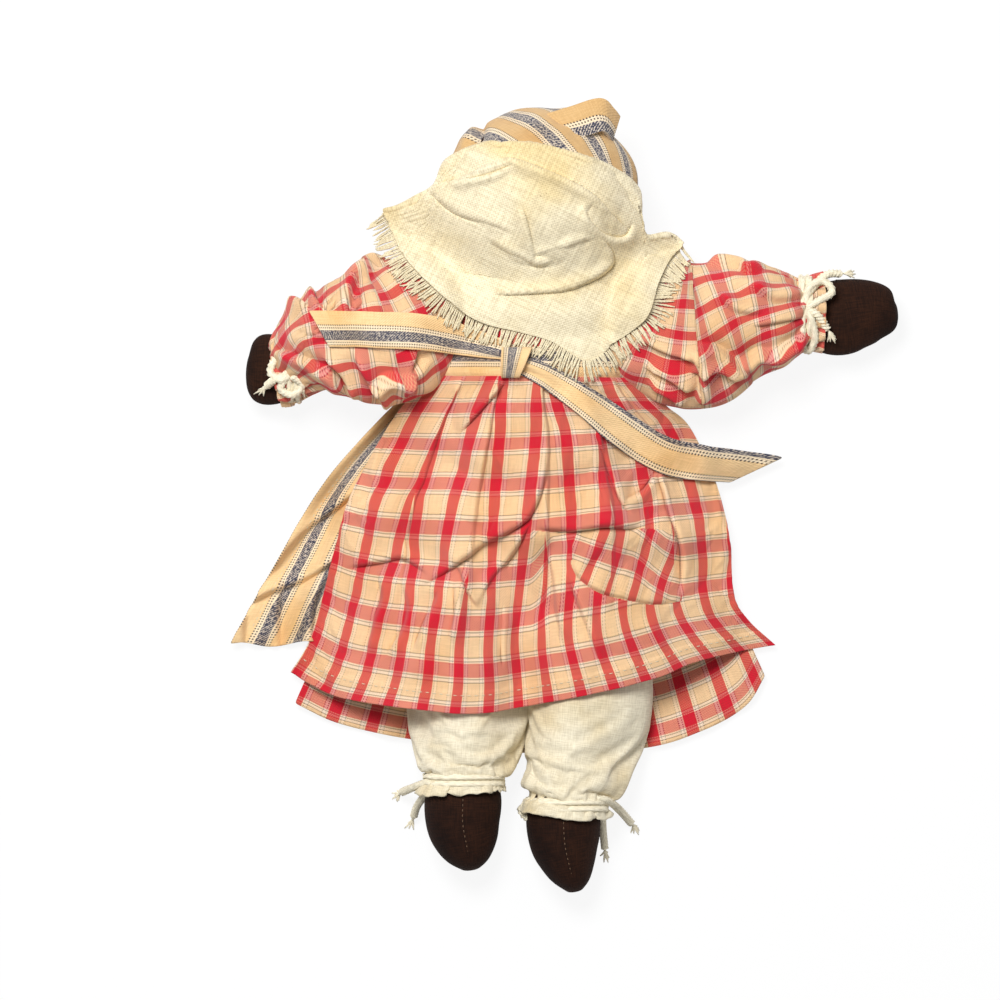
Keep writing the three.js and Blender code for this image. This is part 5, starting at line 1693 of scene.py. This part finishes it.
SHAWL_TOP = [(-69, 124), (-62, 126), (-54, 130), (-44, 136), (-38, 148), (-17, 155), (9, 153), (38, 144),
             (52, 134), (53, 120), (56, 112), (67, 113), (74, 108)]
SHAWL_LOW = [(-69, 123), (-59.5, 103), (-50, 91), (-36, 78), (-21, 70), (-5, 66), (11, 61), (27, 52),
             (41, 60), (51, 67), (57.5, 74), (61, 86), (66, 96.5), (74, 107)]
# Each fold: its line, the ridge's height on the line's left, and its width.
SHAWL_FOLDS = [
    ([(51, 110), (43, 116), (31, 128), (19, 135), (3, 142), (-9, 146), (-20, 143), (-33, 137), (-48, 136)],
     4.6, 3.0),
    ([(-6, 144), (-20, 138), (-40, 135)], 2.4, 2.0),
    ([(50, 118), (46, 110), (37, 110), (29, 116), (27, 121), (31, 127)], 3.4, 2.4),
    ([(3, 98), (0, 112), (-4, 126)], 3.0, 2.8),
    ([(0, 101), (14, 104), (32, 110)], 2.4, 2.6),
    ([(-20, 109), (-6, 101), (4, 97), (16, 99)], 3.0, 3.0),
    ([(-32, 82), (3, 84), (19, 86), (33, 92), (40, 98), (37, 106), (29, 113)], 4.4, 3.0),
    ([(-50, 135), (-35, 122), (-19, 116), (-6, 110)], 2.4, 4.5),
]
SHAWL_WEAVE_TURN = -63.0
# Where the falling shawl starts above what it covers, how far its upper edge is turned under,
# the least gap that stays, and what the nape adds to it, in millimetres.
SHAWL_LIFT = 2.0
SHAWL_TURN_UNDER = 4.0
SHAWL_GAP = 0.8
NAPE_GAP = 3.2


def bend_with_head(piece):
    """Bakes where the piece stands into its points; nothing turns it from the shoulders to the head."""
    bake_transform(piece)


def shawl_spots(rows, columns):
    """Where the shawl's threads lie on the floor plan, and their places from its upper edge down."""
    top = spline(SHAWL_TOP, columns)[None]
    low = spline(SHAWL_LOW, columns)[None]
    down = np.linspace(0, 1, rows)[:, None]
    spot = top + (low - top) * down[..., None]
    return spot[..., 0], spot[..., 1], down


def shawl_relief(rows, columns):
    """Height of the shawl's folds above the plainly draped cloth."""
    x, y, down = shawl_spots(rows, columns)
    folds = 0.5 * ripples(x, y, wavelength=30, seed=41) * smooth(down, 0.1, 0.3)
    for line, rise, width in SHAWL_FOLDS:
        folds = folds + crease(x, y, line, rise, width, hollow=0.2, groove=0.55)
    return folds


def draped_shawl(ground, bodies):
    """The shawl laid over head and shoulders, its upper edge turned under, before its folds."""
    rows, columns = 90, 151
    x, y, down = shawl_spots(rows, columns)
    turned_under = SHAWL_TURN_UNDER * np.exp(-(down / 0.035) ** 2)
    points = np.stack([x, y, ground.at(x, y) + SHAWL_LIFT - turned_under], axis=-1)
    return settle(points, edge_pins(rows, columns, held=2), bodies, frames=7, grow=0.01, weight=0.25)


def make_shawl():
    under = ["kerchief_cloth", *DRESS_TOP, "sash_tail_left_cloth"]
    ground = ground_of(*under)
    points = finer(draped_shawl(ground.tented(CLOTH_SLOPE, blur=5), [PIECES[name] for name in under]))
    rows, columns, _ = points.shape
    points[..., 2] += shawl_relief(rows, columns)
    nape = smooth(points[..., 1], 62, 76) * (1 - smooth(points[..., 1], 100, 110))
    lowest = ground.tented(1.2, blur=1).at(points[..., 0], points[..., 1]) + SHAWL_GAP + NAPE_GAP * nape
    down = np.linspace(0, 1, rows)[:, None]
    points[..., 2] = np.where(down > 0.08, np.maximum(points[..., 2], lowest), points[..., 2])
    shawl = grid_object("shawl_cloth", points, CLOTHS["cream"], turned(points[..., :2], SHAWL_WEAVE_TURN))
    thicken(shawl, 1.6)
    keep(shawl, "osnaburg", "shawl")
    bend_with_head(shawl)
    fringe = make_fringe(points[-1])


FRINGE_RADIUS = 0.52
# How much of a yarn lies under the shawl's edge, and how fast it falls outside, in millimetres.
FRINGE_ROOT = 1.5
FRINGE_FALL = 14


def fringe_yarn(root, way, length, ground, chance, place):
    """One frayed yarn that leaves the shawl's edge at its root, falls and lies on what is below."""
    side = np.array([-way[1], way[0], 0])
    bend = 0.22 * math.sin(place / 9) + chance.normal(0, 0.12)
    curl = 0.3 * math.sin(place / 5 + 1) + chance.normal(0, 0.2)
    t = np.linspace(0, 1, 7)[:, None]
    sideways = length * (bend * t + curl * t ** 2 * 0.5) * side
    path = root - FRINGE_ROOT * way + (FRINGE_ROOT + length) * t * way + sideways
    below = ground.at(path[:, 0], path[:, 1]) + 0.7 + 0.5 * chance.uniform()
    path[:, 2] = np.maximum(below, root[2] + 0.4 - FRINGE_FALL * t[:, 0])
    path[0, 2] = root[2] + 0.2
    return path


def make_fringe(edge):
    """Frayed yarns along the shawl's lower edges, square to the edge."""
    chance = np.random.default_rng(7)
    ground = ground_of(*DRESS_TOP, "sash_tail_left_cloth", "sash_tail_right_cloth", "waistband_cloth",
                       "skirt_back_cloth").tented(1.2, blur=2)
    along = lengths_along(edge)
    step = np.gradient(edge, axis=0)
    outward = unit(np.stack([step[:, 1], -step[:, 0], np.zeros(len(step))], axis=1))
    paths = []
    for place in np.arange(0.5, along[-1], sizes().fringe_step / MM):
        length = sizes().fringe_length / MM * chance.uniform(0.8, 1.15)
        root = points_at(edge, along, place)
        paths.append(fringe_yarn(root, points_at(outward, along, place), length, ground, chance, place))
    fringe = threads_object("shawl_fringe_yarns", paths, FRINGE_RADIUS, CLOTHS["cream"],
                            sides=6, plies=2, lay=0.9)
    keep(fringe, "osnaburg", "shawl_fringe")
    bend_with_head(fringe)
    return fringe


# Each tie: the middle of its turns around the limb, the way along the limb, and half its width and depth.
TIES = {
    "ankle_left": ((-30.6, -146.5, 20), (0, -1, 0), 18.2, 16.6),
    "ankle_right": ((19, -158.5, 20), (0, -1, 0), 18.2, 16.6),
    "wrist_left": ((-111.5, 49.4, 19.8), (-1, -0.1, 0), 16.0, 15.2),
    "wrist_right": ((131, 75.5, 21), (1, 0, 0), 16.4, 15.4),
}
# The bow's loops go back to the knot, and the loose ends fray.
TIE_LOOPS = {
    "ankle_left": [],
    "ankle_right": [[(2, -157, 24), (-3, -163, 20), (2, -167, 24), (9, -161, 32)]],
    "wrist_left": [
        [(-114, 46, 35), (-119, 54, 34), (-123, 47, 34), (-118, 43, 36), (-114, 46, 36)],
        [(-114, 46, 36), (-118, 39, 34), (-112, 36, 33), (-108, 41, 34), (-113, 45, 37)],
    ],
    "wrist_right": [
        [(132, 77, 36), (134, 87, 36), (141, 90, 34), (145, 85, 35), (139, 81, 37), (132, 77, 37)],
        [(132, 77, 37), (135, 72, 37), (137, 63, 33), (134, 57, 29), (131, 60, 31), (131, 68, 36)],
    ],
}
TIE_ENDS = {
    "ankle_left": [
        [(-42, -147, 30), (-50, -150, 24), (-57, -153, 12), (-61, -155, 3)],
        [(-42, -147, 30), (-48, -154, 22), (-53, -161, 10), (-55, -167, 3)],
    ],
    "ankle_right": [
        [(32, -157, 31), (38, -158, 26), (44, -163, 14), (50, -170, 4)],
        [(32, -157, 31), (35, -164, 25), (36, -173, 12), (37, -182, 4)],
    ],
    "wrist_left": [
        [(-114, 46, 36), (-109, 50, 36), (-108, 44, 34)],
        [(-114, 46, 36), (-121, 43, 35), (-125, 40, 29)],
    ],
    "wrist_right": [
        [(132, 77, 37), (138, 74, 37), (143, 67, 33)],
        [(133, 84, 36), (142, 93, 31), (150, 94, 27)],
    ],
}


# The least gap between a turn of string and the floor.
STRING_GAP = 0.25
# A frayed end: the number of its loose plies, their length, and their radius as a share of the string's.
FRAY_PLIES = 16
FRAY_LENGTH = 6.0
FRAY_RADIUS = 0.25


def string_turn(middle, along, wide, deep):
    """A closed turn of string around a limb, flat where the limb lies on the floor."""
    turn = np.linspace(0, 2 * math.pi, 60)[:, None]
    side = unit(np.cross(along, UP))
    path = middle + wide * np.cos(turn) * side + deep * np.sin(turn) * UP
    return above_floor(path, sizes().string_radius / MM + STRING_GAP)


def frayed(path, seed):
    """Loose plies at the cut end of a string."""
    chance = np.random.default_rng(seed)
    way = unit(path[-1] - path[-3])
    t = np.linspace(0, 1, 5)[:, None]
    plies = []
    for _ in range(FRAY_PLIES):
        spread = chance.normal(0, 0.28, 3) * (1, 1, 0.3)
        reach = FRAY_LENGTH * chance.uniform(0.6, 1.1)
        plies.append(path[-1] + t * reach * way + t ** 2 * reach * spread)
    return plies


def make_tie(name):
    where, side = name.split("_")
    limb = ("leg_" if where == "ankle" else "arm_") + side
    middle, along, wide, deep = TIES[name]
    radius = sizes().string_radius / MM
    first = string_turn(np.array(middle, float), along, wide, deep)
    second = first + 1.6 * radius * np.array(along)
    loops = [above_floor(spline(course, 44), radius) for course in TIE_LOOPS[name]]
    ends = [above_floor(spline(course, 40), radius) for course in TIE_ENDS[name]]
    thin = FRAY_RADIUS * radius
    plies = [above_floor(ply, thin) for number, path in enumerate(ends)
             for ply in frayed(path, number + len(name))]
    string = threads_object(f"{where}_string_{side}", [first, second] + loops + ends, radius,
                            CLOTHS["string"], sides=14, plies=3, lay=1.1)
    keep(string, "string", f"{where}_tie_{side}")
    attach(string, limb)
    loose = threads_object(f"{where}_string_ends_{side}", plies, thin, CLOTHS["string"])
    keep(loose, "string")
    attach(loose, limb)


# From the middle of the studio floor to its edge, and its height, in millimetres.
FLOOR_REACH = 4000.0
FLOOR_LEVEL = -0.4


def floor_material(studio):
    """A pale floor that the camera sees as nearly white, with the doll's shadow left on it."""
    recipe = Recipe("studio floor")
    recipe.feed(recipe.surface.inputs["Base Color"], studio.floor_shade)
    recipe.surface.inputs["Roughness"].default_value = 1.0
    recipe.surface.inputs["Specular IOR Level"].default_value = 0.0
    rays = recipe.tree.nodes.new("ShaderNodeLightPath").outputs
    shiny = recipe.math("MAXIMUM", rays["Is Glossy Ray"], rays["Is Transmission Ray"])
    seen = recipe.math("MAXIMUM", rays["Is Camera Ray"], shiny)
    glow = recipe.tree.nodes.new("ShaderNodeEmission")
    inputs = {0: recipe.math("MULTIPLY", seen, studio.floor_glow),
              1: recipe.surface.outputs[0], 2: glow.outputs[0]}
    mixed = recipe.node("ShaderNodeMixShader", inputs)
    recipe.feed(recipe.tree.nodes["Material Output"].inputs[0], mixed)
    return recipe.material


def make_floor(studio):
    floor = grid_object("studio_floor", floor_square(FLOOR_REACH, FLOOR_LEVEL), floor_material(studio))


def make_lights(scene, studio):
    world = bpy.data.worlds.new("studio")
    world.use_nodes = True
    sky = world.node_tree.nodes["Background"]
    sky.inputs["Color"].default_value = (1, 1, 1, 1)
    sky.inputs["Strength"].default_value = studio.sky
    scene.world = world
    lamp = bpy.data.lights.new("soft lamp", "AREA")
    lamp.size = studio.lamp_width
    lamp.energy = studio.lamp_power
    stand = bpy.data.objects.new("soft lamp", lamp)
    stand.location = studio.lamp_place
    stand.rotation_euler = (-Vector(studio.lamp_place)).to_track_quat("-Z", "Y").to_euler()
    scene.collection.objects.link(stand)


# Width of the camera's sensor in millimetres.
SENSOR_WIDTH = 36


def make_camera(scene, studio):
    """A camera that looks straight down on the doll's back."""
    camera = bpy.data.cameras.new("camera")
    camera.lens = studio.lens
    camera.sensor_width = SENSOR_WIDTH
    eye = bpy.data.objects.new("camera", camera)
    eye.location = studio.camera_place
    scene.collection.objects.link(eye)
    scene.camera = eye
    scene.view_settings.view_transform = "Standard"


class DOLL_OT_stage(bpy.types.Operator):
    """Set up the floor, the light and the camera"""
    bl_idname = "doll.stage"
    bl_label = "Stage"

    def execute(self, context):
        studio = context.scene.doll_studio
        make_camera(context.scene, studio)
        make_lights(context.scene, studio)
        make_floor(studio)
        return {"FINISHED"}


class DOLL_OT_cloths(bpy.types.Operator):
    """Weave every cloth, string and thread as a material"""
    bl_idname = "doll.cloths"
    bl_label = "Cloths"

    def execute(self, context):
        make_cloths()
        return {"FINISHED"}


class DOLL_OT_body(bpy.types.Operator):
    """Stuff the torso, the head, the arms and the legs"""
    bl_idname = "doll.body"
    bl_label = "Stuffed body"

    def execute(self, context):
        make_torso()
        make_head()
        make_arms()
        make_legs()
        return {"FINISHED"}


class DOLL_OT_face(bpy.types.Operator):
    """Stitch a plain face: two knots for eyes and a short mouth"""
    bl_idname = "doll.face"
    bl_label = "Face"

    def execute(self, context):
        make_face()
        return {"FINISHED"}


class DOLL_OT_pantaloons(bpy.types.Operator):
    """Sew the seat and both legs of the pantaloons"""
    bl_idname = "doll.pantaloons"
    bl_label = "Pantaloons"

    def execute(self, context):
        make_seat()
        for side, rows in PANTALOONS.items():
            make_pantaloon(side, rows)
        return {"FINISHED"}


class DOLL_OT_apron(bpy.types.Operator):
    """Lay the apron's panel under the doll"""
    bl_idname = "doll.apron"
    bl_label = "Apron"

    def execute(self, context):
        make_apron()
        return {"FINISHED"}


class DOLL_OT_skirt(bpy.types.Operator):
    """Lay the skirt's front and drape its pleated back"""
    bl_idname = "doll.skirt"
    bl_label = "Skirt"

    def execute(self, context):
        make_skirt_front()
        make_skirt_back()
        return {"FINISHED"}


class DOLL_OT_bodice(bpy.types.Operator):
    """Sew the dress above the waist and both sleeves"""
    bl_idname = "doll.bodice"
    bl_label = "Bodice and sleeves"

    def execute(self, context):
        make_bodice()
        for side, rows in SLEEVES.items():
            make_sleeve(side, rows)
        return {"FINISHED"}


class DOLL_OT_sash(bpy.types.Operator):
    """Tie the apron's band at the back and lay out its tails"""
    bl_idname = "doll.sash"
    bl_label = "Waistband and sash"

    def execute(self, context):
        make_waistband()
        make_sash()
        return {"FINISHED"}


class DOLL_OT_kerchief(bpy.types.Operator):
    """Wrap the kerchief around the head and knot it"""
    bl_idname = "doll.kerchief"
    bl_label = "Kerchief"

    def execute(self, context):
        make_kerchief_wrap()
        make_kerchief_tail()
        make_kerchief_knot()
        return {"FINISHED"}


class DOLL_OT_shawl(bpy.types.Operator):
    """Drape the fringed shawl over head and shoulders"""
    bl_idname = "doll.shawl"
    bl_label = "Shawl"

    def execute(self, context):
        make_shawl()
        return {"FINISHED"}


class DOLL_OT_ties(bpy.types.Operator):
    """Tie the strings at wrists and ankles"""
    bl_idname = "doll.ties"
    bl_label = "String ties"

    def execute(self, context):
        for name in TIES:
            make_tie(name)
        return {"FINISHED"}


OPERATORS = (
    DOLL_OT_stage, DOLL_OT_cloths, DOLL_OT_body, DOLL_OT_face, DOLL_OT_pantaloons, DOLL_OT_apron,
    DOLL_OT_skirt, DOLL_OT_bodice, DOLL_OT_sash, DOLL_OT_kerchief, DOLL_OT_shawl, DOLL_OT_ties,
)


class DOLL_PT_doll(bpy.types.Panel):
    """Lists the doll's pieces, sizes, colours and studio"""
    bl_idname = "DOLL_PT_doll"
    bl_label = "Cloth doll"
    bl_space_type = "VIEW_3D"
    bl_region_type = "UI"
    bl_category = "Doll"

    def draw(self, context):
        scene = context.scene
        for operator in OPERATORS:
            self.layout.operator(operator.bl_idname)
        for group in (scene.doll_sizes, scene.doll_colours, scene.doll_studio):
            box = self.layout.box()
            for name in type(group).__annotations__:
                box.prop(group, name)


GROUPS = {"doll_sizes": DollSizes, "doll_colours": DollColours, "doll_studio": DollStudio}


def register():
    for made in (*GROUPS.values(), *OPERATORS, DOLL_PT_doll):
        bpy.utils.register_class(made)
    for name, group in GROUPS.items():
        setattr(bpy.types.Scene, name, bpy.props.PointerProperty(type=group))


def unregister():
    for name in GROUPS:
        delattr(bpy.types.Scene, name)
    for made in (DOLL_PT_doll, *reversed(OPERATORS), *GROUPS.values()):
        bpy.utils.unregister_class(made)


def main():
    register()
    bpy.ops.doll.stage()
    bpy.ops.doll.cloths()
    bpy.ops.doll.body()
    bpy.ops.doll.face()
    bpy.ops.doll.pantaloons()
    bpy.ops.doll.apron()
    bpy.ops.doll.skirt()
    bpy.ops.doll.bodice()
    bpy.ops.doll.sash()
    bpy.ops.doll.kerchief()
    bpy.ops.doll.shawl()
    bpy.ops.doll.ties()


if __name__ == "__main__":
    main()
